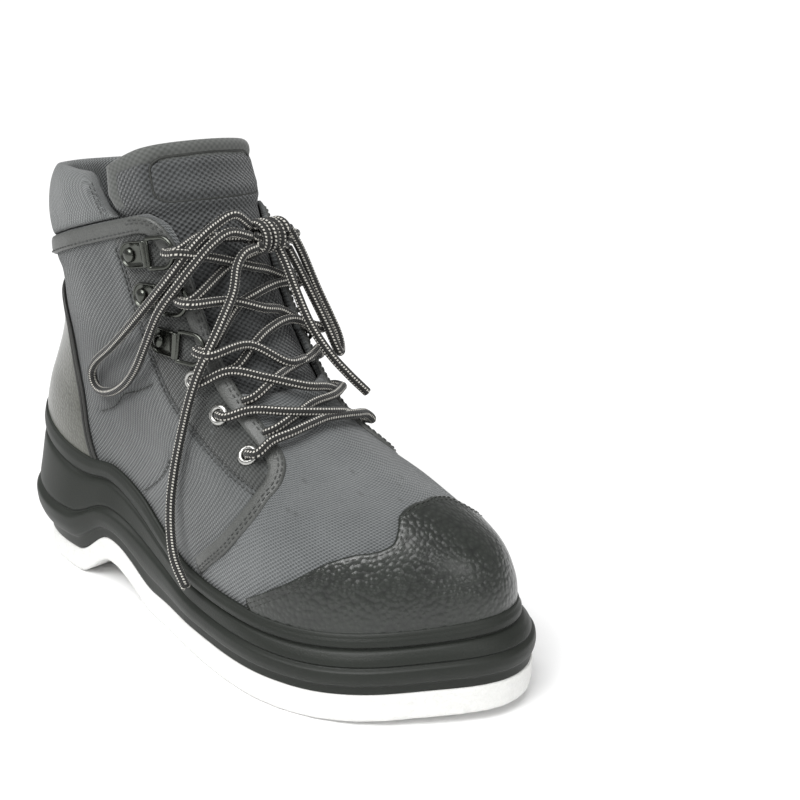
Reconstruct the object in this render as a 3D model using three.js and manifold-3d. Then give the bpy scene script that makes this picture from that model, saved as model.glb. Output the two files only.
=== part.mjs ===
// Wading boot for the right foot: a felt outsole under a stepped rubber midsole, a hollow fabric upper with a leather
// toe cap and heel counter, bound edges, a padded collar and tongue, three eyelets and three ring holders on each
// side of the throat, and a tied lace.
// The toe points along +X, the inner side of the foot is +Y, and the origin is the middle of the heel's tread.
import * as THREE from "three";
import { mergeVertices } from "three/addons/utils/BufferGeometryUtils.js";
import Module from "manifold-3d";

const wasm = await Module();
wasm.setup();

// Driving dimensions, in millimetres.
const soleLength = 315;
const ballHalfWidth = 61.5;
const upperHalfWidth = 54;
const upperHeight = 216;
const heelTreadMiddle = 48;
const feltThickness = 13;
const wallThickness = 2.2;
const capThickness = 1.6;
const bindingWidth = 8;
const bindingThickness = 1.3;
const insoleThickness = 4;
const lipThickness = 3.4;
const padThickness = 8.5;
const tongueThickness = 6.5;
const tongueRise = 24;
const laceDiameter = 4.6;
const eyeletHole = 4.8;
const eyeletFlange = 10.4;
const plateLength = 18.5;
const plateWidth = 13;
const plateThickness = 1.4;
const ringWire = 2.2;
const ringLength = 18;
const ringWidth = 16.5;
const overlayGap = 0.6;
const clearance = 0.3;

// Steps along each side of a loop from heel to toe, and of those the ones behind the throat's edge.
const sideSteps = 22;
const quarterSteps = 18;

const lerp = THREE.MathUtils.lerp;
const clamp = THREE.MathUtils.clamp;
const smoothstep = THREE.MathUtils.smoothstep;

// A smooth function through the rows of a table: a cubic between rows, with the slope of the rows on either side,
// or level at each row if the last argument is true.
function through(rows, at, value, levelAtRows = false) {
  const x = rows.map((row) => row[at]);
  const y = rows.map((row) => row[value]);
  const last = rows.length - 1;
  const slope = x.map((_, i) => {
    const a = Math.max(i - 1, 0);
    const b = Math.min(i + 1, last);
    return levelAtRows ? 0 : (y[b] - y[a]) / (x[b] - x[a]);
  });
  return (q) => {
    let i = 0;
    while (i < last - 1 && q > x[i + 1]) i++;
    const h = x[i + 1] - x[i];
    const p = clamp((q - x[i]) / h, 0, 1);
    const rise = p * p * (3 - 2 * p);
    const leave = p * (1 - p) * (1 - p) * h;
    const arrive = p * p * (p - 1) * h;
    return y[i] * (1 - rise) + y[i + 1] * rise + slope[i] * leave + slope[i + 1] * arrive;
  };
}

// A loop is walked by its turn: 0 at the back, over the outer side to 1 at the front, over the inner side to 2.
// The station is how far along the length that is, from 0 to 1.
const fold = (turn) => {
  const q = ((turn % 2) + 2) % 2;
  return q <= 1 ? q : 2 - q;
};
const sideOf = (turn) => (((turn % 2) + 2) % 2 <= 1 ? -1 : 1);
const stationOf = (t) => (1 - Math.cos(Math.PI * t)) / 2;
const turnOf = (station) => Math.acos(1 - 2 * station) / Math.PI;

// Plan shapes as shares of a half width: the foot's outline, the sideways swing of its middle line, and the shaft's.
const planRows = [
  { station: 0, foot: 0, swing: 0, shaft: 0 },
  { station: 0.05, foot: 0.51, swing: 0, shaft: 0.56 },
  { station: 0.15, foot: 0.7, swing: 0, shaft: 0.86 },
  { station: 0.32, foot: 0.7, swing: -0.02, shaft: 1 },
  { station: 0.445, foot: 0.77, swing: -0.05, shaft: 1 },
  { station: 0.56, foot: 0.9, swing: -0.06, shaft: 0.98 },
  { station: 0.7, foot: 1, swing: -0.05, shaft: 0.96 },
  { station: 0.8, foot: 0.96, swing: 0, shaft: 0.93 },
  { station: 0.88, foot: 0.81, swing: 0.07, shaft: 0.85 },
  { station: 0.95, foot: 0.52, swing: 0.17, shaft: 0.62 },
  { station: 1, foot: 0, swing: 0.2, shaft: 0 },
].map((row) => ({ ...row, turn: turnOf(row.station) }));
const footHalf = through(planRows, "turn", "foot");
const footSwing = through(planRows, "station", "swing");
const shaftHalf = through(planRows, "turn", "shaft");

// The upper, level by level from its feather edge to the crown of the collar. Back and front are shares of the sole's
// length, the heights are shares of the upper's height, half is a share of the upper's half width, and shaft says how
// far the plan is the shaft's and not the foot's.
const levelRows = [
  {
    level: 0, backX: 0.022, backZ: 0.204, sideZ: 0.148,
    frontX: 0.959, frontZ: 0.139, half: 0.944, shaft: 0, swing: 1,
  },
  {
    level: 0.1, backX: 0.006, backZ: 0.315, sideZ: 0.194,
    frontX: 0.965, frontZ: 0.194, half: 1, shaft: 0, swing: 1,
  },
  {
    level: 0.2, backX: 0, backZ: 0.389, sideZ: 0.259,
    frontX: 0.959, frontZ: 0.264, half: 1, shaft: 0, swing: 1,
  },
  {
    level: 0.3, backX: 0.01, backZ: 0.463, sideZ: 0.324,
    frontX: 0.927, frontZ: 0.338, half: 0.944, shaft: 0.1, swing: 1,
  },
  {
    level: 0.4, backX: 0.029, backZ: 0.528, sideZ: 0.389,
    frontX: 0.851, frontZ: 0.403, half: 0.861, shaft: 0.25, swing: 0.6,
  },
  {
    level: 0.5, backX: 0.048, backZ: 0.588, sideZ: 0.454,
    frontX: 0.737, frontZ: 0.451, half: 0.778, shaft: 0.5, swing: 0.2,
  },
  {
    level: 0.6, backX: 0.063, backZ: 0.644, sideZ: 0.537,
    frontX: 0.632, frontZ: 0.514, half: 0.722, shaft: 0.75, swing: 0,
  },
  {
    level: 0.7, backX: 0.07, backZ: 0.694, sideZ: 0.648,
    frontX: 0.546, frontZ: 0.634, half: 0.704, shaft: 1, swing: 0,
  },
  {
    level: 0.8, backX: 0.07, backZ: 0.741, sideZ: 0.759,
    frontX: 0.483, frontZ: 0.782, half: 0.704, shaft: 1, swing: 0,
  },
  {
    level: 0.9, backX: 0.063, backZ: 0.787, sideZ: 0.87,
    frontX: 0.435, frontZ: 0.94, half: 0.731, shaft: 1, swing: 0,
  },
  {
    level: 1, backX: 0.076, backZ: 1, sideZ: 1,
    frontX: 0.413, frontZ: 0.977, half: 0.713, shaft: 1, swing: 0,
  },
];
const levelOf = (key) => through(levelRows, "level", key);
const backX = levelOf("backX");
const backZ = levelOf("backZ");
const sideZ = levelOf("sideZ");
const frontX = levelOf("frontX");
const frontZ = levelOf("frontZ");
const levelHalf = levelOf("half");
const shaftShare = levelOf("shaft");
const swingShare = levelOf("swing");

// The upper's outer face at a turn and a level.
function upperPoint(turn, level) {
  const t = fold(turn);
  const s = stationOf(t);
  const half = upperHalfWidth * levelHalf(level) * lerp(footHalf(t), shaftHalf(t), shaftShare(level));
  const x = lerp(backX(level), frontX(level), s);
  const middle = ballHalfWidth * footSwing(clamp(x, 0, 1)) * swingShare(level);
  const z = backZ(level) * (1 - s) * (1 - 2 * s) + 4 * sideZ(level) * s * (1 - s) + frontZ(level) * s * (2 * s - 1);
  return new THREE.Vector3(x * soleLength - heelTreadMiddle, middle + sideOf(turn) * half, z * upperHeight);
}

// The directions at a point of the upper: around it towards a higher turn, up it, and out of it.
function upperDirections(turn, level) {
  const step = 0.004;
  const above = Math.min(level + step, 1);
  const below = Math.max(level - step, 0);
  const around = upperPoint(turn + step, level).sub(upperPoint(turn - step, level)).divideScalar(2 * step);
  const up = upperPoint(turn, above).sub(upperPoint(turn, below)).divideScalar(above - below);
  const out = around.clone().cross(up).normalize();
  return { around, up, out };
}
const upperOffset = (turn, level, out) =>
  upperPoint(turn, level).addScaledVector(upperDirections(turn, level).out, out);

function solidOf(position, faces) {
  const geometry = new THREE.BufferGeometry();
  geometry.setAttribute("position", new THREE.Float32BufferAttribute(position, 3));
  geometry.setIndex(faces);
  return geometry;
}

// A closed wall between an outer and an inner grid of points, over the cells where here(i, j) is true.
// The columns join up again if wrap is true.
function wall(columns, rows, outer, inner, wrap = false, here = () => true) {
  const across = wrap ? columns : columns + 1;
  const position = [];
  for (const face of [outer, inner])
    for (let j = 0; j <= rows; j++)
      for (let i = 0; i < across; i++) position.push(...face(i, j).toArray());
  const faces = [];
  const id = (k, i, j) => (k * (rows + 1) + j) * across + (wrap ? (i + columns) % columns : i);
  const quad = (a, b, c, d) => faces.push(a, b, c, a, c, d);
  const full = (i, j) => {
    if (j < 0 || j >= rows || (!wrap && (i < 0 || i >= columns))) return false;
    return here((i + columns) % columns, j);
  };
  for (let j = 0; j < rows; j++)
    for (let i = 0; i < columns; i++) {
      if (!full(i, j)) continue;
      quad(id(0, i, j), id(0, i + 1, j), id(0, i + 1, j + 1), id(0, i, j + 1));
      quad(id(1, i, j), id(1, i, j + 1), id(1, i + 1, j + 1), id(1, i + 1, j));
      if (!full(i, j - 1)) quad(id(0, i, j), id(1, i, j), id(1, i + 1, j), id(0, i + 1, j));
      if (!full(i, j + 1)) quad(id(0, i + 1, j + 1), id(1, i + 1, j + 1), id(1, i, j + 1), id(0, i, j + 1));
      if (!full(i - 1, j)) quad(id(0, i, j + 1), id(1, i, j + 1), id(1, i, j), id(0, i, j));
      if (!full(i + 1, j)) quad(id(0, i + 1, j), id(1, i + 1, j), id(1, i + 1, j + 1), id(0, i + 1, j + 1));
    }
  return solidOf(position, faces);
}

// A closed solid through loops of points, with flat strips from side to side as its two ends.
function loft(loops) {
  const n = loops[0].length;
  const position = loops.flat().flatMap((p) => p.toArray());
  const faces = [];
  const id = (k, i) => k * n + ((i + n) % n);
  for (let k = 0; k + 1 < loops.length; k++)
    for (let i = 0; i < n; i++) {
      faces.push(id(k, i), id(k, i + 1), id(k + 1, i + 1), id(k, i), id(k + 1, i + 1), id(k + 1, i));
    }
  const end = (k, facingUp) => {
    for (let i = 0; i < n / 2; i++)
      for (const [a, b, c] of [[i, i + 1, n - i - 1], [i, n - i - 1, n - i]]) {
        const ids = [id(k, a), id(k, b), id(k, c)];
        if (new Set(ids).size < 3) continue;
        faces.push(...(facingUp ? ids : ids.reverse()));
      }
  };
  end(0, false);
  end(loops.length - 1, true);
  return solidOf(position, faces);
}

// Solids joined to or cut from each other.
function manifoldOf(geometry) {
  const plain = geometry.clone();
  plain.deleteAttribute("normal");
  plain.deleteAttribute("uv");
  const merged = mergeVertices(plain, 1e-4);
  return new wasm.Manifold(
    new wasm.Mesh({
      numProp: 3,
      vertProperties: new Float32Array(merged.attributes.position.array),
      triVerts: new Uint32Array(merged.index.array),
    }),
  );
}
function geometryOf(manifold) {
  const mesh = manifold.getMesh();
  return solidOf(Array.from(mesh.vertProperties), Array.from(mesh.triVerts));
}
const cut = (body, tools) => geometryOf(tools.reduce((a, b) => a.subtract(manifoldOf(b)), manifoldOf(body)));
const join = (bodies) => geometryOf(bodies.map(manifoldOf).reduce((a, b) => a.add(b)));

const boot = new THREE.Group();
function add(name, geometry, material) {
  const mesh = new THREE.Mesh(geometry, material);
  mesh.name = name;
  boot.add(mesh);
  return mesh;
}
const finish = (color, roughness, metalness = 0) => new THREE.MeshStandardMaterial({ color, roughness, metalness });
const felt = finish(0xe9e8e4, 0.95);
const rubber = finish(0x33362f, 0.6);
const fabric = finish(0x62676a, 0.85);
const leather = finish(0x3c403a, 0.4);
const piping = finish(0x5f625f, 0.55);
const padding = finish(0x8a8f8e, 0.85);
const gunmetal = finish(0x4a4c48, 0.35, 0.9);
const silver = finish(0xb8bab5, 0.3, 0.95);
const cordage = finish(0x2a2a28, 0.9);
const board = finish(0x9b8f7c, 0.9);

// Where the midsole's top edge runs on the upper, from heel to toe.
const lipRows = [
  { turn: 0, level: 0.19 },
  { turn: 0.15, level: 0.2 },
  { turn: 0.24, level: 0.185 },
  { turn: 0.32, level: 0.19 },
  { turn: 0.37, level: 0.222 },
  { turn: 0.43, level: 0.2 },
  { turn: 0.48, level: 0.14 },
  { turn: 0.53, level: 0.1 },
  { turn: 0.62, level: 0.1 },
  { turn: 0.7, level: 0.095 },
  { turn: 0.82, level: 0.11 },
  { turn: 0.92, level: 0.118 },
  { turn: 1, level: 0.12 },
];
const lipLevel = through(lipRows, "turn", "level");

// Height of the tread above the floor along the sole, in shares of the felt: flat heel, arch, flat forefoot, toe spring.
const treadRows = [
  { station: 0, height: 0.3 },
  { station: 0.06, height: 0 },
  { station: 0.19, height: 0 },
  { station: 0.275, height: 1.08 },
  { station: 0.42, height: 0 },
  { station: 0.78, height: 0 },
  { station: 1, height: 0.35 },
];
const treadShare = through(treadRows, "station", "height", true);
const treadHeight = (s) => feltThickness * treadShare(s);

// A point of the sole's outline, moved out sideways.
function outlinePoint(turn) {
  const t = fold(turn);
  const s = stationOf(t);
  const y = ballHalfWidth * (footSwing(s) + sideOf(turn) * footHalf(t));
  return new THREE.Vector2(s * soleLength - heelTreadMiddle, y);
}
function solePoint(turn, out) {
  const step = 0.004;
  const along = outlinePoint(turn + step).sub(outlinePoint(turn - step)).normalize();
  return outlinePoint(turn).add(new THREE.Vector2(along.y * out, -along.x * out));
}
const turns = Array.from({ length: 2 * sideSteps }, (_, i) => i / sideSteps);

// The felt outsole: one thickness of felt, bent up through the arch and at the toe.
const feltLoop = (out, height) =>
  turns.map((turn) => {
    const p = solePoint(turn, out);
    return new THREE.Vector3(p.x, p.y, treadHeight(stationOf(fold(turn))) + height);
  });
add("outsole_felt", loft([feltLoop(-1.5, 0), feltLoop(-0.4, 1.5), feltLoop(-0.4, feltThickness)]), felt);

// The midsole's side from bottom to top: height as a share at the heel and at the toe, how far it stands out of the
// sole's outline and how much further at the heel, and how far it leans over to the lip.
const sideRows = [
  { heel: 0, toe: 0, out: -1, flare: 0.5, lean: 0 },
  { heel: 0.12, toe: 0.15, out: -1.6, flare: 2.4, lean: 0 },
  { heel: 0.15, toe: 0.19, out: 0.3, flare: 4, lean: 0 },
  { heel: 0.25, toe: 0.31, out: 0.8, flare: 6, lean: 0 },
  { heel: 0.36, toe: 0.44, out: 0.2, flare: 7.2, lean: 0 },
  { heel: 0.4, toe: 0.49, out: -2.2, flare: 6, lean: 0 },
  { heel: 0.43, toe: 0.53, out: -0.8, flare: 6.4, lean: 0.1 },
  { heel: 0.6, toe: 0.63, out: -0.8, flare: 5, lean: 0.3 },
  { heel: 0.8, toe: 0.73, out: -0.8, flare: 3, lean: 0.65 },
  { heel: 0.83, toe: 0.77, out: -2.6, flare: 2.4, lean: 0.75 },
  { heel: 0.86, toe: 0.81, out: -0.6, flare: 2, lean: 0.85 },
  { heel: 0.93, toe: 0.91, out: -0.2, flare: 1, lean: 0.95 },
  { heel: 0.99, toe: 0.98, out: -1, flare: 0, lean: 1 },
];
const heelness = (s) => 1 - smoothstep(s, 0.12, 0.42);
function sidePoint(turn, row) {
  const s = stationOf(fold(turn));
  const lip = upperOffset(turn, lipLevel(fold(turn)), lipThickness);
  const bottom = treadHeight(s) + feltThickness + clearance;
  const low = solePoint(turn, row.out + row.flare * heelness(s));
  const height = lerp(bottom, lip.z, lerp(row.toe, row.heel, heelness(s)));
  const high = new THREE.Vector2(lip.x, lip.y);
  const groove = row.lean > 0 ? row.out + 0.8 : 0;
  const across = high.clone().sub(new THREE.Vector2(low.x, low.y));
  const p = low.addScaledVector(across, row.lean);
  const inward = upperDirections(turn, lipLevel(fold(turn))).out;
  return new THREE.Vector3(p.x + inward.x * groove * row.lean, p.y + inward.y * groove * row.lean, height);
}
// Inside, the midsole is a tray that follows the upper down to its feather edge.
const trayGap = 2 * clearance;
const trayPoint = (turn, share) => upperOffset(turn, lipLevel(fold(turn)) * share, trayGap);
const trayFloor = (turn) => {
  const p = trayPoint(turn, 0);
  return new THREE.Vector3(p.x, p.y, upperPoint(turn, 0).z - clearance);
};
add(
  "midsole",
  loft([
    ...sideRows.map((row) => turns.map((turn) => sidePoint(turn, row))),
    ...[1, 0.55].map((share) => turns.map((turn) => trayPoint(turn, share))),
    turns.map(trayFloor),
  ]),
  rubber,
);

// The insole lies on the tray's floor inside the upper's feather edge.
const insoleInset = 1.9;
const insoleLoop = (height) =>
  turns.map((turn) => {
    const rim = upperOffset(turn, 0.03, -wallThickness - insoleInset);
    return new THREE.Vector3(rim.x, rim.y, upperPoint(turn, 0).z + height);
  });
add("insole", loft([insoleLoop(0), insoleLoop(insoleThickness)]), board);

// The throat's edge, as the turn it stands at on each level: straight up the front, then round the top corner.
const throatBottom = 0.65;
const quarterTop = 0.91;
const throatEdgeRows = [
  { level: 0, turn: 0.833 },
  { level: 0.8, turn: 0.833 },
  { level: 0.86, turn: 0.826 },
  { level: 0.89, turn: 0.8 },
  { level: quarterTop, turn: 0.745 },
];
const throatEdge = through(throatEdgeRows, "level", "turn");
const upperLevels = [
  0, 0.08, 0.16, 0.23, 0.29, 0.35, 0.41, 0.46, 0.51, 0.555, 0.6, throatBottom, 0.7, 0.76, 0.82, 0.865, 0.892, quarterTop,
];
function upperTurn(i, level) {
  const k = i <= sideSteps ? i : 2 * sideSteps - i;
  const edge = throatEdge(level);
  const t =
    k <= quarterSteps ? (edge * k) / quarterSteps : lerp(edge, 1, (k - quarterSteps) / (sideSteps - quarterSteps));
  return i <= sideSteps ? t : 2 - t;
}

// Eyelets and ring holders, in pairs from the toe up: turn from the back and level.
const eyeletPlaces = [
  { turn: 0.753, level: 0.535 },
  { turn: 0.745, level: 0.612 },
  { turn: 0.715, level: 0.662 },
];
const holderPlaces = [
  { turn: 0.652, level: 0.715 },
  { turn: 0.642, level: 0.785 },
  { turn: 0.642, level: 0.848 },
];
// A frame on the upper with X towards the throat, Z out, and its origin lifted off the surface.
function seat(place, side, lift) {
  const turn = side < 0 ? place.turn : 2 - place.turn;
  const { around, out } = upperDirections(turn, place.level);
  const forward = around.multiplyScalar(-side).normalize();
  const matrix = new THREE.Matrix4().makeBasis(forward, out.clone().cross(forward), out);
  return matrix.setPosition(upperOffset(turn, place.level, lift));
}
const sides = [
  { name: "outer", sign: -1 },
  { name: "inner", sign: 1 },
];

const shell = wall(
  2 * sideSteps,
  upperLevels.length - 1,
  (i, j) => upperPoint(upperTurn(i, upperLevels[j]), upperLevels[j]),
  (i, j) => upperOffset(upperTurn(i, upperLevels[j]), upperLevels[j], -wallThickness),
  true,
  (i, j) => upperLevels[j] < throatBottom || Math.abs(i + 0.5 - sideSteps) > sideSteps - quarterSteps,
);
const eyeletBarrel = eyeletHole / 2 + 0.5;
const punches = sides.flatMap(({ sign }) =>
  eyeletPlaces.map((place) => {
    const punch = new THREE.CylinderGeometry(eyeletBarrel + clearance, eyeletBarrel + clearance, 9, 8);
    return punch.rotateX(Math.PI / 2).applyMatrix4(seat(place, sign, 0));
  }),
);
add("upper", cut(shell, punches), fabric);

// The toe cap, from the midsole's lip to a stepped edge over the toes.
const capRows = [
  { turn: 0.633, level: 0.135 },
  { turn: 0.685, level: 0.215 },
  { turn: 0.743, level: 0.288 },
  { turn: 0.79, level: 0.318 },
  { turn: 0.825, level: 0.325 },
  { turn: 0.855, level: 0.338 },
  { turn: 0.885, level: 0.367 },
  { turn: 0.915, level: 0.395 },
  { turn: 0.965, level: 0.41 },
  { turn: 1, level: 0.41 },
];
const capEdge = through(capRows, "turn", "level");
const lipGap = 0.012;
const capColumns = 24;
const capLayers = 5;
const capPoint = (out) => (i, j) => {
  const turn = 1 + (2 * i / capColumns - 1) * (1 - capRows[0].turn);
  const t = fold(turn);
  return upperOffset(turn, lerp(lipLevel(t) + lipGap, capEdge(t), j / capLayers), out);
};
add("toe_cap", wall(capColumns, capLayers, capPoint(overlayGap + capThickness), capPoint(overlayGap)), leather);

// The heel counter narrows upwards from the midsole's lip to the back of the shaft.
const counterRows = [
  { share: 0, turn: 0.333 },
  { share: 0.17, turn: 0.314 },
  { share: 0.34, turn: 0.3 },
  { share: 0.51, turn: 0.286 },
  { share: 0.66, turn: 0.27 },
  { share: 0.79, turn: 0.252 },
  { share: 0.88, turn: 0.228 },
  { share: 0.95, turn: 0.195 },
  { share: 1, turn: 0.15 },
];
const counterTop = 0.74;
const counterColumns = 14;
const counterPoint = (out) => (i, j) => {
  const { share, turn: half } = counterRows[j];
  const turn = (2 * i / counterColumns - 1) * half;
  return upperOffset(turn, lerp(lipLevel(fold(turn)) + lipGap, counterTop, share), out);
};
add(
  "heel_counter",
  wall(counterColumns, counterRows.length - 1, counterPoint(overlayGap + capThickness), counterPoint(overlayGap)),
  leather,
);

// A strip of binding along a path of turns and levels on the upper.
function strip(path, width, steps) {
  const curve = new THREE.CatmullRomCurve3(path.map(([turn, level]) => new THREE.Vector3(turn, level, 0)));
  const at = (out) => (i, j) => {
    const p = curve.getPoint(i / steps);
    const way = curve.getTangent(i / steps);
    const { around, up } = upperDirections(p.x, p.y);
    const along = around.clone().multiplyScalar(way.x).addScaledVector(up, way.y).normalize();
    const across = around.clone().cross(up).normalize().cross(along);
    const aa = around.dot(around);
    const au = around.dot(up);
    const uu = up.dot(up);
    const a = across.dot(around);
    const u = across.dot(up);
    const det = aa * uu - au * au;
    const reach = (j / 2 - 0.5) * width;
    const turn = p.x + (reach * (a * uu - u * au)) / det;
    const level = p.y + (reach * (u * aa - a * au)) / det;
    return upperOffset(turn, level, out);
  };
  return wall(steps, 2, at(overlayGap + bindingThickness), at(overlayGap));
}
const quarterPath = [
  [0.547, 0.13], [0.58, 0.215], [0.638, 0.34], [0.705, 0.43], [0.77, 0.486], [0.808, 0.53], [0.82, 0.575],
  [0.815, 0.62], [0.807, 0.66], [0.804, 0.7], [0.803, 0.75], [0.802, 0.81], [0.792, 0.855], [0.768, 0.88],
  [0.74, 0.89],
];
for (const { name, sign } of sides) {
  const path = quarterPath.map(([turn, level]) => (sign < 0 ? [turn, level] : [2 - turn, level]));
  add(`quarter_binding_${name}`, strip(sign < 0 ? path : path.reverse(), bindingWidth, 28), piping);
}
const collarBindingEnd = 0.722;
const collarPath = [-1, -0.8, -0.6, -0.4, -0.2, 0, 0.2, 0.4, 0.6, 0.8, 1].map((share) => [
  share * collarBindingEnd,
  0.889 + 0.004 * Math.abs(share),
]);
add("collar_binding", strip(collarPath, bindingWidth, 28), piping);

// The padded collar stands on the upper's top edge, from side to side round the back, with a rounded crown.
const padEnd = 0.545;
const padColumns = 22;
const padRows = [
  { level: quarterTop + 0.003, outer: 0.2, inner: -1 },
  { level: 0.93, outer: 1.6, inner: -0.85 },
  { level: 0.965, outer: 2, inner: -0.95 },
  { level: 0.985, outer: 1, inner: -0.9 },
  { level: 1, outer: -2.2, inner: -0.6 },
];
const padPoint = (face) => (i, j) => {
  const share = 2 * i / padColumns - 1;
  const row = padRows[j];
  const taper = 1 - smoothstep(Math.abs(share), 0.88, 1) * 0.4;
  const out = face === "outer" ? row.outer * taper : row.inner * padThickness * taper;
  return upperOffset(share * padEnd, row.level, out);
};
add("collar_pad", wall(padColumns, padRows.length - 1, padPoint("outer"), padPoint("inner")), padding);

// The tongue follows the inside of the upper under the throat, then comes out over the quarters' top and spreads.
const tongueRows = [
  { level: 0.56, half: 0.2, out: -1.3, thick: 0.5, rise: 0 },
  { level: 0.62, half: 0.235, out: -1.3, thick: 0.8, rise: 0 },
  { level: 0.68, half: 0.26, out: -1.3, thick: 1, rise: 0 },
  { level: 0.74, half: 0.28, out: -1.3, thick: 1, rise: 0 },
  { level: 0.8, half: 0.3, out: -1.3, thick: 1, rise: 0 },
  { level: 0.86, half: 0.32, out: -1.3, thick: 1, rise: 0 },
  { level: 0.9, half: 0.35, out: -1.3, thick: 1, rise: 0 },
  { level: 0.93, half: 0.4, out: -0.4, thick: 1, rise: 0 },
  { level: 0.96, half: 0.425, out: 0, thick: 1, rise: 0.1 },
  { level: 1, half: 0.425, out: 0, thick: 1, rise: 0.4 },
  { level: 1, half: 0.42, out: 0, thick: 0.9, rise: 0.75 },
  { level: 1, half: 0.4, out: -0.2, thick: 0.6, rise: 1 },
];
const tongueColumns = 13;
const tonguePoint = (inner) => (i, j) => {
  const across = 2 * i / tongueColumns - 1;
  const row = tongueRows[j];
  const edge = smoothstep(Math.abs(across), 0.72, 1);
  const depth = tongueThickness * row.thick * (1 - 0.45 * edge);
  const out = row.out * (wallThickness + clearance) - (inner ? depth : 0);
  const point = upperOffset(1 + across * row.half, row.level, out);
  const arch = row.rise * tongueRise * (1 - 0.75 * across * across);
  return point.add(new THREE.Vector3(-0.35 * arch, 0, arch));
};
add("tongue", wall(tongueColumns, tongueRows.length - 1, tonguePoint(false), tonguePoint(true)), fabric);

// Eyelets: a rolled flange outside and a barrel through the wall.
const eyeletProfile = [
  [eyeletHole / 2, -wallThickness],
  [eyeletBarrel, -wallThickness + 0.2],
  [eyeletBarrel, overlayGap],
  [eyeletFlange / 2, overlayGap + 0.2],
  [eyeletFlange / 2 - 1.1, overlayGap + 1.2],
  [eyeletHole / 2 + 0.2, overlayGap + 0.9],
  [eyeletHole / 2, -wallThickness],
].map(([r, z]) => new THREE.Vector2(r, z));

// Ring holders: a riveted plate whose folded front edge holds a ring.
const plateShape = new THREE.Shape();
plateShape.absarc(0, 0, plateWidth / 2, Math.PI / 2, Math.PI * 1.5);
plateShape.lineTo(plateLength - plateWidth / 2, -plateWidth / 2);
plateShape.lineTo(plateLength - plateWidth / 2, plateWidth / 2);
const ringShape = new THREE.Shape();
const ringBack = plateLength - plateWidth / 2 + clearance;
const ringBend = ringWidth / 2;
ringShape.moveTo(0, -ringWidth / 2);
ringShape.lineTo(ringLength - ringBend, -ringWidth / 2);
ringShape.absarc(ringLength - ringBend, 0, ringBend, -Math.PI / 2, Math.PI / 2);
ringShape.lineTo(0, ringWidth / 2);
const ringHole = new THREE.Path();
ringHole.moveTo(ringWire, -ringWidth / 2 + ringWire);
ringHole.lineTo(ringWire, ringWidth / 2 - ringWire);
ringHole.lineTo(ringLength - ringBend, ringWidth / 2 - ringWire);
ringHole.absarc(ringLength - ringBend, 0, ringBend - ringWire, Math.PI / 2, -Math.PI / 2, true);
ringHole.lineTo(ringWire, -ringWidth / 2 + ringWire);
ringShape.holes.push(ringHole);
// A ring leans towards the throat as far as the upper does this many turns further on.
const ringLean = 0.08;
const rivetProfile = [
  [0, plateThickness - 0.5],
  [3.4, plateThickness - 0.5],
  [3.2, plateThickness + 0.9],
  [1.8, plateThickness + 1.7],
  [0, plateThickness + 1.9],
].map(([r, z]) => new THREE.Vector2(r, z));
for (const { name, sign } of sides) {
  eyeletPlaces.forEach((place, k) => {
    const ring = new THREE.LatheGeometry(eyeletProfile, 10).rotateX(Math.PI / 2);
    add(`eyelet_${name}_${k + 1}`, join([ring.applyMatrix4(seat(place, sign, 0))]), silver);
  });
  holderPlaces.forEach((place, k) => {
    const frame = seat(place, sign, 2 * overlayGap);
    const plate = new THREE.ExtrudeGeometry(plateShape, { depth: plateThickness, bevelEnabled: false, curveSegments: 5 });
    const rivet = new THREE.LatheGeometry(rivetProfile, 8).rotateX(Math.PI / 2);
    add(`ring_plate_${name}_${k + 1}`, join([plate.applyMatrix4(frame), rivet.applyMatrix4(frame)]), gunmetal);
    const ring = new THREE.ExtrudeGeometry(ringShape, { depth: ringWire, bevelEnabled: false, curveSegments: 5 });
    const hinge = new THREE.Vector3(ringBack, 0, 0).applyMatrix4(frame);
    const ahead = seat({ turn: place.turn + ringLean, level: place.level }, sign, 0);
    add(`lace_ring_${name}_${k + 1}`, join([ring.applyMatrix4(ahead.setPosition(hinge))]), gunmetal);
  });
}

// A round cord along a smooth curve through points.
function cord(points, steps, sideCount) {
  const section = new THREE.Shape();
  for (let k = 0; k < sideCount; k++) {
    const angle = (2 * Math.PI * k) / sideCount;
    const x = (laceDiameter / 2) * Math.cos(angle);
    const y = (laceDiameter / 2) * Math.sin(angle);
    if (k === 0) section.moveTo(x, y);
    else section.lineTo(x, y);
  }
  section.closePath();
  const path = new THREE.CatmullRomCurve3(points, false, "centripetal");
  return new THREE.ExtrudeGeometry(section, { steps, extrudePath: path, bevelEnabled: false });
}

// The lacing: a bar over the vamp, then pairs that cross over the tongue. Each strand comes from under one facing,
// crosses at the middle, passes over the other facing and ends at the next eyelet or ring. over is true for the
// strand that lies on top where two cross.
const lacePlaces = [...eyeletPlaces, ...holderPlaces];
const strandRows = [
  { from: "outer", to: 2, start: 0.588, middle: 0.62, edge: 0.617, over: false },
  { from: "inner", to: 2, start: 0.572, middle: 0.597, edge: 0.62, over: true },
  { from: "outer", to: 3, start: 0.642, middle: 0.677, edge: 0.683, over: false },
  { from: "inner", to: 3, start: 0.622, middle: 0.643, edge: 0.68, over: true },
  { from: "outer", to: 4, start: 0.69, middle: 0.735, edge: 0.742, over: false },
  { from: "inner", to: 4, start: 0.679, middle: 0.684, edge: 0.736, over: true },
  { from: "outer", to: 5, start: 0.753, middle: 0.784, edge: 0.793, over: false },
  { from: "inner", to: 5, start: 0.744, middle: 0.763, edge: 0.786, over: true },
  { from: "outer", to: 6, start: 0.806, middle: 0.83, edge: 0.84, over: false },
  { from: "inner", to: 6, start: 0.8, middle: 0.819, edge: 0.84, over: true },
];
const laceRadius = laceDiameter / 2;
const underTurn = 0.865;
const overTurn = 0.815;
const tongueFace = -1.3 * (wallThickness + clearance);
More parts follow.
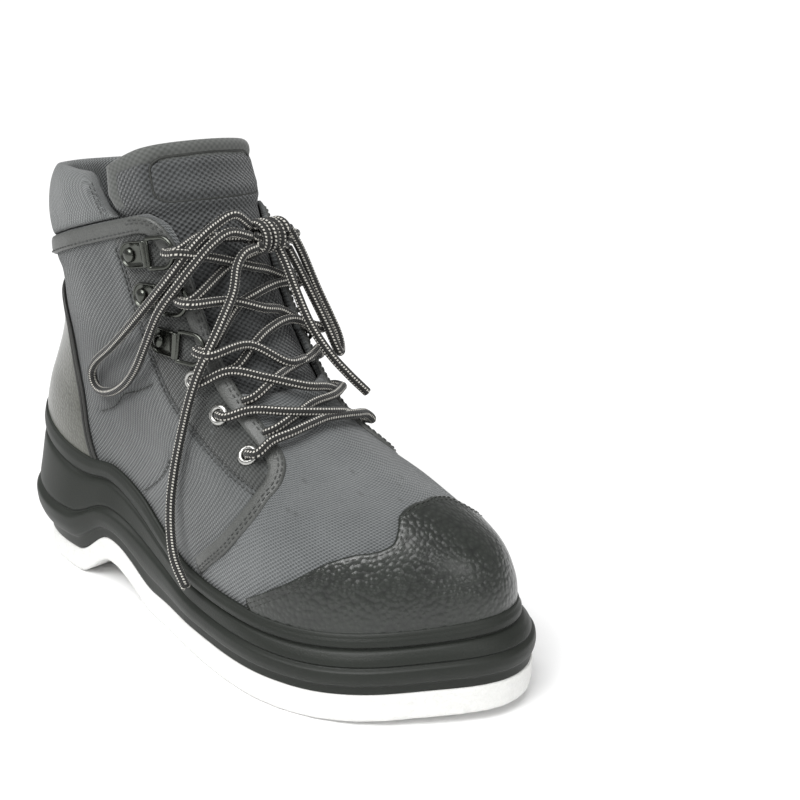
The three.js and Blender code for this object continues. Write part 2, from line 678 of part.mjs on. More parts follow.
const underLift = (level) =>
  laceRadius + 1.5 * clearance + lerp(0.6, tongueFace, smoothstep(level, throatBottom - 0.01, throatBottom + 0.05));
const crossLift = 0.6 * laceDiameter;
const overLift = overlayGap + bindingThickness + 2 * clearance + laceRadius;
const eyeletLanding = 0.765;
const ringLanding = 0.832;
const ringTurn = 0.845;
const ringTurnLift = overLift - 0.6;
const onSide = (turn, level, lift, side) => upperOffset(side < 0 ? turn : 2 - turn, level, lift);
function strand({ from, to, start, middle, edge, over }) {
  const side = from === "outer" ? -1 : 1;
  const place = lacePlaces[to - 1];
  const rise = over ? crossLift : 0;
  const fromRing = to > eyeletPlaces.length + 1;
  const path = [
    fromRing ? onSide(ringTurn, start, ringTurnLift, side) : onSide(underTurn, start, underLift(start), side),
    onSide(0.93, lerp(start, middle, 0.6), underLift(start) + 0.6 * rise, side),
    upperOffset(1, middle, underLift(middle) + rise),
    onSide(0.91, lerp(middle, edge, 0.62), lerp(underLift(middle) + rise, overLift, 0.5), -side),
  ];
  if (to > eyeletPlaces.length) path.push(onSide(ringLanding, edge, overLift, -side));
  else {
    path.push(onSide(overTurn, edge, overLift + 0.4, -side));
    path.push(onSide(Math.max(eyeletLanding, place.turn), lerp(edge, place.level, 0.75), overLift + 0.6, -side));
  }
  return cord(path, 6, 6);
}
const barRows = [
  { turn: 0.765, level: 0.54, lift: overLift + 0.3 },
  { turn: 0.825, level: 0.556, lift: overLift + 0.6 },
  { turn: 0.885, level: 0.572, lift: overLift + 0.4 },
  { turn: 1, level: 0.59, lift: overLift },
];
const bar = cord(
  [
    ...barRows.map((row) => upperOffset(row.turn, row.level, row.lift)),
    ...barRows.slice(0, -1).reverse().map((row) => upperOffset(2 - row.turn, row.level, row.lift)),
  ],
  9,
  6,
);
add("lace_crossings", join([bar, ...strandRows.map(strand)]), cordage);

// The bow: its knot in front of the tongue, a loop and an end on each side. Points are in millimetres.
const knotMiddle = new THREE.Vector3(102.6, 12, 190.2);
const knot = new THREE.SphereGeometry(1, 10, 8).scale(7.2, 9.6, 7.4).translate(...knotMiddle.toArray());
add("lace_knot", knot, cordage);
const bowRoutes = {
  lace_loop_outer: [
    [102, 1, 196], [102, -9, 202], [100, -18, 198], [98, -29, 190], [92, -39, 175], [74, -44, 154], [50, -43, 134],
    [31, -41, 121], [26, -39, 112], [33, -40, 107], [46, -41, 109], [58, -42, 116], [69, -43, 127], [78, -44, 140],
    [88, -43, 158], [96, -38, 171], [100, -31, 181], [102, -23, 189], [103, -13, 194], [104, 0, 191],
  ],
  lace_end_outer: [
    [107, 1, 186], [107, -7, 184], [108, -12, 179], [112, -18, 168], [114, -26, 157], [115, -34, 146], [114, -41, 134],
    [111, -44, 121], [107, -46, 104], [106, -50, 86], [109, -55, 72], [115, -60, 60], [124, -65, 50], [136, -68, 41],
  ],
  lace_loop_inner: [
    [106, 22, 194], [107, 30, 181], [110, 38, 162], [114, 44, 147], [118, 46, 137], [122, 44, 131], [124, 40, 134],
    [121, 36, 144], [114, 31, 160], [109, 26, 174], [107, 21, 184],
  ],
  lace_end_inner: [
    [108, 13.7, 184.9], [113, 14, 178], [119, 15, 166], [127, 18, 149], [136, 22, 136], [143, 28, 126], [149, 36, 116],
  ],
};
for (const [name, route] of Object.entries(bowRoutes)) {
  const points = route.map((p) => new THREE.Vector3(...p));
  add(name, cord(points, Math.round(1.3 * points.length), 7), cordage);
}

export default boot;
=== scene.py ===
import bmesh
import bpy
import numpy as np
from mathutils import Matrix


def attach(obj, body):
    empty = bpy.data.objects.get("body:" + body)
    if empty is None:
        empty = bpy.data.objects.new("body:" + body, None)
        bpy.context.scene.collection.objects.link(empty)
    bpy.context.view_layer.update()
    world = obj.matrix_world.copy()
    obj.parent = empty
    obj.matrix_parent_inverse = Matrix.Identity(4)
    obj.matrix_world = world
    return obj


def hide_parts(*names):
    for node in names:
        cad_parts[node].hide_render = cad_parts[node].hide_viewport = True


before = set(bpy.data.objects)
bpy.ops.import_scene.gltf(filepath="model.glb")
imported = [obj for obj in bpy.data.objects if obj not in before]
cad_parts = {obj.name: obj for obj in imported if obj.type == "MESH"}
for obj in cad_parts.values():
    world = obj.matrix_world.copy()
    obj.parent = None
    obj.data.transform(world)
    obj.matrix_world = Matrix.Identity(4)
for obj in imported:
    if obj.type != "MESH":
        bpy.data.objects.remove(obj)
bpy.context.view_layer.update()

# ---- Studio ----
# A low photo table of white board under a wide soft sun and two boxes, with the camera in front of the boot's outer
# side. The room is white to the camera and dimmer as light. Boot sizes are millimetres, scaled to metres in the mesh.
azimuth, elevation, tilt, pan, rise = np.radians([49.08, 19.27, -0.54, 6.88, 1.64])
back = np.array([np.sin(azimuth) * np.cos(elevation), -np.cos(azimuth) * np.cos(elevation), np.sin(elevation)])
level_right = np.array([np.cos(azimuth), np.sin(azimuth), 0])
level_up = np.cross(back, level_right)
right = level_right * np.cos(tilt) + level_up * np.sin(tilt)
up = -level_right * np.sin(tilt) + level_up * np.cos(tilt)
ahead = -back * np.cos(pan) + right * np.sin(pan)
right = np.cross(ahead, up)
ahead = ahead * np.cos(rise) + up * np.sin(rise)
up = np.cross(right, ahead)
lens = bpy.data.cameras.new("camera")
lens.sensor_width = 36
lens.lens = 56.17
lens.clip_start = 0.01
camera = bpy.data.objects.new("camera", lens)
bpy.context.scene.collection.objects.link(camera)
place = (np.array([102, 0, 90]) + back * 630.8) / 1000
stand = np.eye(4)
stand[:3, 0], stand[:3, 1], stand[:3, 2], stand[:3, 3] = right / np.linalg.norm(right), up, -ahead, place
camera.matrix_world = Matrix(stand.tolist())
bpy.context.scene.camera = camera
bpy.context.scene.view_settings.view_transform = "Standard"

world = bpy.data.worlds.new("soft_room")
world.use_nodes = True
world.node_tree.nodes["Background"].inputs["Color"].default_value = (1, 1, 1, 1)
seen = world.node_tree.nodes.new("ShaderNodeMath")
seen.operation = "MULTIPLY_ADD"
seen.inputs[1].default_value, seen.inputs[2].default_value = 0.7, 0.42
camera_ray = world.node_tree.nodes.new("ShaderNodeLightPath").outputs["Is Camera Ray"]
world.node_tree.links.new(camera_ray, seen.inputs[0])
world.node_tree.links.new(seen.outputs[0], world.node_tree.nodes["Background"].inputs["Strength"])
bpy.context.scene.world = world
for name, kind, spot, aim, size, power in [
    ("wide_overhead", "SUN", (0.15, -0.7, 1.5), (0.08, 0, 0.1), 0.9, 2.5),
    ("key_box", "AREA", (0.25, -1.3, 1.5), (0.08, 0, 0.1), 0.6, 9),
    ("front_box", "AREA", (1.7, -0.1, 0.9), (0.1, 0, 0.08), 0.5, 4),
]:
    light = bpy.data.lights.new(name, kind)
    light.energy = power
    setattr(light, "angle" if kind == "SUN" else "size", size)
    lamp = bpy.data.objects.new(name, light)
    bpy.context.scene.collection.objects.link(lamp)
    out = np.array(spot) - np.array(aim)
    out = out / np.linalg.norm(out)
    across = np.cross((0, 0, 1), out)
    across = across / np.linalg.norm(across)
    turn = np.eye(4)
    turn[:3, 0], turn[:3, 1], turn[:3, 2], turn[:3, 3] = across, np.cross(out, across), out, spot
    lamp.matrix_world = Matrix(turn.tolist())


def add_node(tree, kind, settings=(), **inputs):
    """A shader node with its settings and its inputs, where an input is a value or another node's output. Noise and
    cells lie in the object's own coordinates, in metres."""
    node = tree.nodes.new("ShaderNode" + kind)
    if kind in ("TexNoise", "TexVoronoi"):
        tree.links.new(tree.nodes.new("ShaderNodeTexCoord").outputs["Object"], node.inputs["Vector"])
    for key, value in dict(settings).items():
        setattr(node, key, value)
    for key, value in inputs.items():
        socket = node.inputs[int(key[1:])] if key[1:].isdigit() else node.inputs[key.replace("_", " ")]
        if isinstance(value, bpy.types.NodeSocket):
            tree.links.new(value, socket)
        else:
            socket.default_value = value
    return node


def maths(tree, operation, *values):
    """The result of one Math node on values or outputs."""
    return add_node(tree, "Math", {"operation": operation}, **{f"i{k}": v for k, v in enumerate(values)}).outputs[0]


def surface(name, roughness, **more):
    """A new material, its tree and its shader, with what is the same all over set on the shader's own sockets."""
    material = bpy.data.materials.new(name)
    material.use_nodes = True
    shader = material.node_tree.nodes["Principled BSDF"]
    shader.inputs["Roughness"].default_value = roughness
    for key, value in more.items():
        shader.inputs[key.replace("_", " ")].default_value = value
    return material, material.node_tree, shader


def mixed(tree, factor, dark, light):
    """A colour between two, by a factor."""
    return add_node(tree, "MixRGB", Fac=factor, Color1=(*dark, 1), Color2=(*light, 1)).outputs[0]


def raised(tree, shader, height, depth, strength=1.0):
    """Bump from a height between 0 and 1, depth metres deep."""
    bump = add_node(tree, "Bump", Height=height, Distance=depth, Strength=strength)
    tree.links.new(bump.outputs[0], shader.inputs["Normal"])


board, tree, shader = surface("white_board", 0.9)
speck = add_node(tree, "TexNoise", Scale=40.0, Detail=3.0)
tree.links.new(mixed(tree, speck.outputs["Fac"], (0.93, 0.93, 0.93), (0.96, 0.96, 0.96)), shader.inputs["Base Color"])
reach = np.linspace(-3, 3, 13)
table_x, table_y = np.meshgrid(reach, reach, indexing="xy")
table_points = np.stack([table_x, table_y, 0 * table_x - 0.0004], -1).reshape(-1, 3)
corner = (np.arange(12)[:, None] * 13 + np.arange(12)).reshape(-1, 1)
table = bpy.data.meshes.new("table_top")
table.from_pydata(table_points.tolist(), [], (corner + [0, 1, 14, 13]).tolist())
table.materials.append(board)
table_top = bpy.data.objects.new("table_top", table)
bpy.context.scene.collection.objects.link(table_top)

# ---- Bow: knot, two loops and two ends of the lace ----
# A round braided lace, black with pairs of pale flecked stripes, tied in front of the tongue. The outer loop and the
# outer end hang down the outer side, the inner ones down the inner side, and both ends are cut off plain.
lace_thick = 4.6


def smooth_path(points, per=8):
    """A centripetal curve through points: between two it is a cubic, with slopes from the neighbours' spacing."""
    p = np.asarray(points, float)
    p = np.vstack([2 * p[0] - p[1], p, 2 * p[-1] - p[-2]])
    gap = np.sqrt(np.linalg.norm(np.diff(p, axis=0), axis=1))[:, None]
    step = np.diff(p, axis=0) / gap
    slope = step[:-1] - (p[2:] - p[:-2]) / (gap[:-1] + gap[1:]) + step[1:]
    a, b, h = p[1:-2], p[2:-1], gap[1:-1]
    m, n = slope[:-1] * h, slope[1:] * h
    t = np.linspace(0, 1, per, endpoint=False)[:, None, None]
    s = t * t * (3 - 2 * t)
    curve = a * (1 - s) + b * s + m * t * (1 - t) ** 2 + n * t * t * (t - 1)
    return np.vstack([curve.transpose(1, 0, 2).reshape(-1, 3), p[-2]])


def run_length(path):
    """How far along a path each of its points is."""
    return np.concatenate([[0], np.cumsum(np.linalg.norm(np.diff(path, axis=0), axis=1))])


def rope(path, radius, sides=14):
    """A round cord along a path: rings of points square to it, each turned as little as possible from the last, that
    close to a point at both ends over a short rounded tip. Gives points, faces and uv, in turns and millimetres."""
    along = np.gradient(path, axis=0)
    along /= np.linalg.norm(along, axis=1, keepdims=True)
    side = np.cross(along[0], [0.3, 0.2, 1])
    frames = []
    for way in along:
        side = side - way * (side @ way)
        side = side / np.linalg.norm(side)
        frames.append(side)
    side = np.array(frames)
    other = np.cross(along, side)
    far = run_length(path)
    tip = np.array([[0, 0.02], [0, 0.7], [0.12, 0.93], [0.3, 1]])
    ends = path[0] + along[0] * tip[:, :1] * radius, path[-1] - along[-1] * tip[::-1, :1] * radius
    centre = np.vstack([ends[0], path[1:-1], ends[1]])
    width = radius * np.concatenate([tip[:, 1], np.ones(len(path) - 2), tip[::-1, 1]])
    repeat = np.r_[[0] * 4, np.arange(1, len(path) - 1), [len(path) - 1] * 4]
    angle = 2 * np.pi * np.arange(sides) / sides
    ring = side[repeat][:, None] * np.cos(angle)[:, None] + other[repeat][:, None] * np.sin(angle)[:, None]
    points = (centre[:, None] + width[:, None, None] * ring).reshape(-1, 3)
    rows = len(centre)
    j, i = (g.ravel() for g in np.meshgrid(np.arange(rows - 1), np.arange(sides), indexing="ij"))
    k = (i + 1) % sides
    faces = np.stack([j * sides + i, j * sides + k, (j + 1) * sides + k, (j + 1) * sides + i], -1)
    share = np.stack([i, i + 1, i + 1, i], -1) / sides
    run = far[repeat]
    uv = np.stack([share, np.stack([run[j], run[j], run[j + 1], run[j + 1]], -1)], -1)
    return points, faces, uv


def mesh_piece(name, parts, material, slot, *nodes):
    """One object from a list of (points, faces, uv), riding on the boot and standing for the named nodes. Poles and
    closing rings are welded, and every face is turned outwards."""
    start = np.cumsum([0] + [len(p[0]) for p in parts])
    points = np.concatenate([p[0] for p in parts]) / 1000
    faces = np.concatenate([p[1] + s for p, s in zip(parts, start)])
    uv = np.concatenate([p[2] for p in parts])
    mesh = bpy.data.meshes.new(name)
    mesh.from_pydata(points.tolist(), [], faces.tolist())
    layer = mesh.uv_layers.new(name="uv")
    layer.data.foreach_set("uv", uv.astype(np.float32).ravel())
    mesh.polygons.foreach_set("use_smooth", np.ones(len(faces), bool))
    mesh.materials.append(material)
    weld = bmesh.new()
    weld.from_mesh(mesh)
    bmesh.ops.remove_doubles(weld, verts=weld.verts, dist=1e-6)
    bmesh.ops.recalc_face_normals(weld, faces=weld.faces)
    weld.to_mesh(mesh)
    weld.free()
    piece = bpy.data.objects.new(name, mesh)
    bpy.context.scene.collection.objects.link(piece)
    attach(piece, "root")
    if nodes:
        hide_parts(*nodes)
    return piece


def braid(name):
    """Braided lace: round the cord lie black stripes and pale flecked ones. A fleck is a short slanting stitch, from
    the sine of the length plus the turn, and the bump is the same braid slanting both ways."""
    material, tree, shader = surface(name, 0.75, Sheen_Weight=0.15)
    uv = add_node(tree, "SeparateXYZ", i0=add_node(tree, "UVMap", {"uv_map": "uv"}).outputs["UV"]).outputs
    round_it = maths(tree, "MULTIPLY", uv[0], 4 * np.pi)
    stripe = maths(tree, "SINE", maths(tree, "MULTIPLY", round_it, 2.5))
    along_it = maths(tree, "MULTIPLY", uv[1], 2 * np.pi / 1.5)
    slant = maths(tree, "SINE", maths(tree, "ADD", along_it, round_it))
    counter_slant = maths(tree, "SINE", maths(tree, "SUBTRACT", along_it, round_it))
    fleck = maths(tree, "MULTIPLY", maths(tree, "GREATER_THAN", stripe, 0.52), maths(tree, "GREATER_THAN", slant, -0.1))
    fluff = add_node(tree, "TexNoise", Scale=900.0, Detail=2.0).outputs["Fac"]
    pale = maths(tree, "MULTIPLY", fleck, maths(tree, "MULTIPLY_ADD", fluff, 0.6, 0.55))
    tree.links.new(mixed(tree, pale, (0.008, 0.008, 0.007), (0.68, 0.66, 0.6)), shader.inputs["Base Color"])
    raised(tree, shader, maths(tree, "MULTIPLY_ADD", maths(tree, "MAXIMUM", slant, counter_slant), 0.5, 0.5), 0.00035)
    return material


lace_braid = braid("lace_braid")
routes = {
    "lace_loop_outer": [
        (102, 1, 196), (102, -9, 202), (100, -18, 198), (98, -29, 190), (92, -39, 175), (74, -44, 154), (50, -43, 134),
        (31.5, -41, 121), (26.6, -39.9, 115), (26.3, -39.3, 110.6), (29.4, -39.5, 107.2), (35, -40, 106.2),
        (46, -41, 109), (58, -42, 116), (69, -43, 127), (78, -44, 140), (88, -43, 158), (96, -38, 171),
        (100, -31, 181), (102, -23, 189), (103, -13, 194), (104, 0, 191),
    ],
    "lace_end_outer": [
        (107, 1, 186), (107, -7, 184), (108, -12, 179), (112, -18, 168), (114, -26, 157), (115, -34, 146),
        (114, -41, 134), (111, -44, 121), (107, -46, 104), (106, -50, 86), (109, -55, 72), (115, -60, 60),
        (124, -65, 50), (136, -68, 41),
    ],
    "lace_loop_inner": [
        (106, 22, 194), (107, 30, 181), (110, 38, 162), (114, 43.8, 147), (117.2, 46.2, 138.2), (120, 45.6, 133),
        (122.8, 43, 130.6), (124.6, 39.6, 131.8), (124, 37.2, 136.5), (121, 35.4, 144), (114, 31, 160), (109, 26, 174),
        (107, 21, 184),
    ],
    "lace_end_inner": [
        (108, 13.7, 184.9), (113, 14, 178), (119, 15, 166), (127, 18, 149), (136, 22, 136), (143, 28, 126),
        (149, 36, 116),
    ],
}
wrap = np.linspace(-0.35, 3.2, 34) * 2 * np.pi
knot_runs = [
    [(102, 3, 195.5), (103.5, 8, 196), (106, 14, 195), (106.5, 21, 193.5)],
    [(104, 2, 191), (106, 8, 189), (107.5, 14, 187.5), (107.5, 20, 185)],
    [(107, 2.5, 186), (104, 8, 187), (104, 13, 186.5), (107, 15.5, 185.6)],
    np.stack([103.4 + 6.3 * np.sin(wrap), 4.6 + wrap * 0.72, 190.4 + 6.4 * np.cos(wrap)], -1),
]
knot_ropes = [rope(smooth_path(run, 6), 2.25) for run in knot_runs]
knot = mesh_piece("lace_knot_tied", knot_ropes, lace_braid, "lace", "lace_knot")
for name, route in routes.items():
    path = smooth_path(route)
    piece = mesh_piece(name + "_braided", [rope(path, lace_thick / 2)], lace_braid, "lace", name)

# ---- Upper ----
# One hollow wall of heavy woven cloth, sewn from a light vamp, darker quarters and facings. It is lasted over the
# foot's shape, open at the collar, the throat and underneath, and quilted along its sewn seams.
sole_length, ball_half, upper_half, upper_height, heel_to_origin, wall_thick = 315, 61.5, 54, 216, 48, 2.2
plan_station = np.array([0, 0.05, 0.15, 0.32, 0.445, 0.56, 0.7, 0.8, 0.88, 0.95, 1])
plan_foot = np.array([0, 0.51, 0.7, 0.7, 0.77, 0.9, 1, 0.96, 0.81, 0.52, 0])
plan_swing = np.array([0, 0, 0, -0.02, -0.05, -0.06, -0.05, 0, 0.07, 0.17, 0.2])
plan_shaft = np.array([0, 0.56, 0.86, 1, 1, 0.98, 0.96, 0.93, 0.85, 0.62, 0])
plan_turn = np.arccos(1 - 2 * plan_station) / np.pi
last_level = np.arange(11) / 10
last = {
    "back_x": (0.022, 0.006, 0, 0.01, 0.029, 0.048, 0.063, 0.07, 0.07, 0.063, 0.076),
    "back_z": (0.204, 0.315, 0.389, 0.463, 0.528, 0.588, 0.644, 0.694, 0.741, 0.787, 1),
    "side_z": (0.148, 0.194, 0.259, 0.324, 0.389, 0.454, 0.537, 0.648, 0.759, 0.87, 1),
    "front_x": (0.959, 0.965, 0.959, 0.927, 0.851, 0.737, 0.632, 0.546, 0.483, 0.435, 0.413),
    "front_z": (0.139, 0.194, 0.264, 0.338, 0.403, 0.451, 0.514, 0.634, 0.782, 0.94, 0.977),
    "half": (0.944, 1, 1, 0.944, 0.861, 0.778, 0.722, 0.704, 0.704, 0.731, 0.713),
    "shaft": (0, 0, 0, 0.1, 0.25, 0.5, 0.75, 1, 1, 1, 1),
    "swing": (1, 1, 1, 1, 0.6, 0.2, 0, 0, 0, 0, 0),
}


def through(x, y, q, flat=False):
    """A smooth line through a table: a cubic between rows with the slope of the rows on either side, or level at each
    row if flat is true."""
    x, y, q = np.asarray(x, float), np.asarray(y, float), np.asarray(q, float)
    near, far = np.maximum(np.arange(len(x)) - 1, 0), np.minimum(np.arange(len(x)) + 1, len(x) - 1)
    slope = 0 * x if flat else (y[far] - y[near]) / (x[far] - x[near])
    i = np.clip(np.searchsorted(x, q) - 1, 0, len(x) - 2)
    h = x[i + 1] - x[i]
    p = np.clip((q - x[i]) / h, 0, 1)
    s = p * p * (3 - 2 * p)
    return y[i] * (1 - s) + y[i + 1] * s + slope[i] * p * (1 - p) ** 2 * h + slope[i + 1] * p * p * (p - 1) * h


def fold(turn):
    """A loop's turn, 0 at the heel, 1 at the toe and 2 at the heel again, as how far it is from the heel."""
    turn = np.mod(turn, 2)
    return np.where(turn <= 1, turn, 2 - turn)


def last_point(turn, level):
    """The upper's outer face. Along the boot a level runs from its back to its front as half a cosine of the turn, its
    height is a parabola through back, side and front, and its width is the foot's plan blended into the shaft's."""
    turn, level = np.broadcast_arrays(np.asarray(turn, float), np.asarray(level, float))
    t = fold(turn)
    s = (1 - np.cos(np.pi * t)) / 2
    at = {key: through(last_level, row, level) for key, row in last.items()}
    foot, shaft = through(plan_turn, plan_foot, t), through(plan_turn, plan_shaft, t)
    half = upper_half * at["half"] * (foot * (1 - at["shaft"]) + shaft * at["shaft"])
    x = at["back_x"] * (1 - s) + at["front_x"] * s
    middle = ball_half * through(plan_station, plan_swing, np.clip(x, 0, 1)) * at["swing"]
    z = at["back_z"] * (1 - s) * (1 - 2 * s) + 4 * at["side_z"] * s * (1 - s) + at["front_z"] * s * (2 * s - 1)
    side = np.where(np.mod(turn, 2) <= 1, -1.0, 1.0)
    return np.stack([x * sole_length - heel_to_origin, middle + side * half, z * upper_height], -1)


def last_ways(turn, level):
    """How the face moves per turn and per level, and its outward direction, from small steps to both sides."""
    above, below = np.minimum(level + 0.004, 1), np.maximum(level - 0.004, 0)
    around = (last_point(turn + 0.004, level) - last_point(turn - 0.004, level)) / 0.008
    up = (last_point(turn, above) - last_point(turn, below)) / (above - below)[..., None]
    out = np.cross(around, up)
    return around, up, out / np.linalg.norm(out, axis=-1, keepdims=True)


def skin(turn, level, lift=0.0):
    """A point this many millimetres off the upper's outer face."""
    turn, level = np.broadcast_arrays(np.asarray(turn, float), np.asarray(level, float))
    return last_point(turn, level) + last_ways(turn, level)[2] * np.asarray(lift, float)[..., None]


def sideways(path, reach):
    """A path of turns and levels moved over the face square to itself, by the inverse of the face's metric."""
    way = np.gradient(path, axis=0)
    around, up, out = last_ways(path[:, 0], path[:, 1])
    along = around * way[:, :1] + up * way[:, 1:]
    across = np.cross(out, along / np.linalg.norm(along, axis=1, keepdims=True))
    aa, au, uu = (around * around).sum(1), (around * up).sum(1), (up * up).sum(1)
    a, u = (across * around).sum(1), (across * up).sum(1)
    det = aa * uu - au * au
    return path + reach * np.stack([(a * uu - u * au) / det, (u * aa - a * au) / det], -1)


def traced(marks, per=10, inner=False):
    """A smooth path through marks of turn and level, on the outer side or mirrored to the inner one."""
    marks = np.asarray(marks, float)
    path = smooth_path(np.column_stack([marks, 0 * marks[:, 0]]), per)[:, :2]
    return np.column_stack([2 - path[:, 0], path[:, 1]])[::-1] if inner else path


def wall_parts(outer, inner, uv, here=None, around=False):
    """A closed wall between two grids of points: both faces, and a rim wherever a cell has no neighbour."""
    rows, cols = outer.shape[:2]
    across = cols if around else cols - 1
    here = np.ones((rows - 1, across), bool) if here is None else here
    j, i = np.nonzero(here)

    def alone(dj, di):
        jj, ii = j + dj, (i + di) % across if around else i + di
        inside = (jj >= 0) & (jj < rows - 1) & (ii >= 0) & (ii < across)
        return ~(inside & here[np.clip(jj, 0, rows - 2), np.clip(ii, 0, across - 1)])

    every = np.ones(len(j), bool)
    faces, coords = [], []
    for face, dj, di, chosen in [
        ((0, 0, 0, 0), (0, 0, 1, 1), (0, 1, 1, 0), every),
        ((1, 1, 1, 1), (0, 1, 1, 0), (0, 0, 1, 1), every),
        ((0, 1, 1, 0), (0, 0, 0, 0), (0, 0, 1, 1), alone(-1, 0)),
        ((0, 1, 1, 0), (1, 1, 1, 1), (1, 1, 0, 0), alone(1, 0)),
        ((0, 1, 1, 0), (1, 1, 0, 0), (0, 0, 0, 0), alone(0, -1)),
        ((0, 1, 1, 0), (0, 0, 1, 1), (1, 1, 1, 1), alone(0, 1)),
    ]:
        jj, ii = j[chosen, None] + np.array(dj), i[chosen, None] + np.array(di)
        faces.append(np.array(face) * rows * cols + jj * cols + ii % cols)
        coords.append(uv[jj, ii])
    faces, coords = np.concatenate(faces), np.concatenate(coords)
    used, index = np.unique(faces, return_inverse=True)
    points = np.concatenate([outer.reshape(-1, 3), inner.reshape(-1, 3)])[used]
    return points, index.reshape(faces.shape), coords


def cloth_uv(points, start_col=0):
    """A flat pattern in millimetres: how far each point is along its row from one column, and up its column."""
    row_run = np.cumsum(np.linalg.norm(np.diff(points, axis=1, prepend=points[:, :1]), axis=2), axis=1)
    col_run = np.cumsum(np.linalg.norm(np.diff(points, axis=0, prepend=points[:1]), axis=2), axis=0)
    return np.stack([row_run - row_run[:, start_col:start_col + 1], col_run], -1)


def painted(piece, name, value):
    """Stores one number per point for the material to read."""
    piece.data.attributes.new(name, "FLOAT", "POINT").data.foreach_set("value", np.asarray(value, np.float32))


def weave(name, dark, light, pitch, depth, roughness=0.85, panel=None, smooth_panel=False):
    """Plain weave: bumps where the sine across the threads meets the sine along them, in a colour between two that
    drifts a little with noise. A panel is a painted share that goes over to two other colours, and may be smooth."""
    material, tree, shader = surface(name, roughness, Sheen_Weight=0.25, Sheen_Roughness=0.5)
    uv = add_node(tree, "SeparateXYZ", i0=add_node(tree, "UVMap", {"uv_map": "uv"}).outputs["UV"]).outputs
    warp = maths(tree, "SINE", maths(tree, "MULTIPLY", uv[0], 2 * np.pi / (1.3 * pitch)))
    weft = maths(tree, "SINE", maths(tree, "MULTIPLY", uv[1], 2 * np.pi / pitch))
    knit = maths(tree, "MULTIPLY", warp, weft)
    drift = add_node(tree, "TexNoise", Scale=45.0, Detail=4.0).outputs["Fac"]
    fuzz = add_node(tree, "TexNoise", Scale=1400.0, Detail=1.0).outputs["Fac"]
    share = maths(tree, "MULTIPLY_ADD", knit, 0.5, maths(tree, "MULTIPLY_ADD", drift, 0.5, 0.15))
    share = maths(tree, "ADD", share, maths(tree, "MULTIPLY_ADD", fuzz, 0.5, -0.1))
    colour = mixed(tree, share, dark, light)
    if panel:
        deeper = mixed(tree, share, *panel)
        there = add_node(tree, "Attribute", {"attribute_name": "panel"}).outputs["Fac"]
        colour = add_node(tree, "MixRGB", Fac=there, Color1=colour, Color2=deeper).outputs[0]
    tree.links.new(colour, shader.inputs["Base Color"])
    strength = maths(tree, "SUBTRACT", 1.0, there) if smooth_panel else 1.0
    raised(tree, shader, maths(tree, "MULTIPLY_ADD", knit, 0.5, 0.5), depth, strength)
    return material


quarter_marks = [
    (0.547, 0.13), (0.58, 0.215), (0.638, 0.34), (0.705, 0.43), (0.77, 0.486), (0.808, 0.53), (0.82, 0.575),
    (0.815, 0.62), (0.807, 0.66), (0.804, 0.7), (0.803, 0.75), (0.802, 0.8), (0.793, 0.838), (0.774, 0.866),
    (0.744, 0.885), (0.7, 0.8925), (0.66, 0.893),
]
back_seam = [(0.338, 0.39), (0.385, 0.458), (0.432, 0.532), (0.49, 0.577), (0.555, 0.62)]
low_seam = [(0.432, 0.223), (0.472, 0.32), (0.515, 0.427)]
facing_seam = [
    (0.735, 0.462), (0.705, 0.445), (0.685, 0.465), (0.655, 0.51), (0.633, 0.55), (0.6, 0.61), (0.588, 0.7),
    (0.585, 0.86),
]
eyelet_marks = [(0.753, 0.535), (0.745, 0.612), (0.715, 0.662)]
throat_bottom, quarter_top = 0.65, 0.91
half_cols, quarter_cols = 132, 112
levels = np.unique(np.concatenate([np.linspace(0, throat_bottom, 76), np.linspace(throat_bottom, quarter_top, 34)]))
edge = through([0, 0.8, 0.86, 0.89, quarter_top], [0.833, 0.833, 0.826, 0.8, 0.745], levels)[:, None]
step = np.arange(half_cols + 1)
half_turn = np.where(step <= quarter_cols, edge * step / quarter_cols,
                     edge + (1 - edge) * (step - quarter_cols) / (half_cols - quarter_cols))
upper_turn = np.hstack([half_turn, 2 - half_turn[:, -2:0:-1]])
upper_level = np.broadcast_to(levels[:, None], upper_turn.shape)
flat = skin(upper_turn, upper_level)


def near(points, paths):
    """The distance from each point to the nearest of some paths' points."""
    spots = np.concatenate([skin(p[:, 0], p[:, 1]) for p in paths])
    gap = np.full(points.shape[:-1], 1e9)
    for k in range(0, len(spots), 16):
        gap = np.minimum(gap, np.linalg.norm(points[..., None, :] - spots[k:k + 16], axis=-1).min(-1))
    return gap


both = (False, True)
sewn = near(flat, [traced(m, 16, inner) for m in (back_seam, low_seam, facing_seam) for inner in both])
bound = near(flat, [sideways(traced(quarter_marks, 10, inner), 3.5) for inner in both])
collar_line = near(flat, [np.column_stack([np.linspace(-0.72, 0.72, 160), np.full(160, 0.872)])])
lift = -0.75 * np.exp(-((sewn / 1.6) ** 2)) + 0.35 * np.exp(-(((sewn - 5) / 4) ** 2))
lift += 0.35 * np.exp(-(((bound - 6) / 4) ** 2)) - 0.3 * np.exp(-((collar_line / 3) ** 2))
ripple = np.sin(flat[..., 0] / 9.5 + flat[..., 2] / 14) * np.sin(flat[..., 2] / 11 - flat[..., 0] / 23)
flex = np.exp(-(((upper_level - 0.46) / 0.05) ** 2)) * np.exp(-(((fold(upper_turn) - 0.93) / 0.1) ** 2))
lift += 0.28 * ripple * (upper_level > 0.15) - 0.5 * flex * np.sin(upper_level * 120) ** 2
holes = np.concatenate([[(t, v) for t, v in eyelet_marks], [(2 - t, v) for t, v in eyelet_marks]])
hole_spots = skin(holes[:, 0], holes[:, 1])
cell = (flat + np.roll(flat, -1, axis=1))[:-1] / 4 + (flat + np.roll(flat, -1, axis=1))[1:] / 4
open_cell = np.linalg.norm(cell[..., None, :] - hole_spots, axis=-1).min(-1) < 2.9
column = np.arange(2 * half_cols)
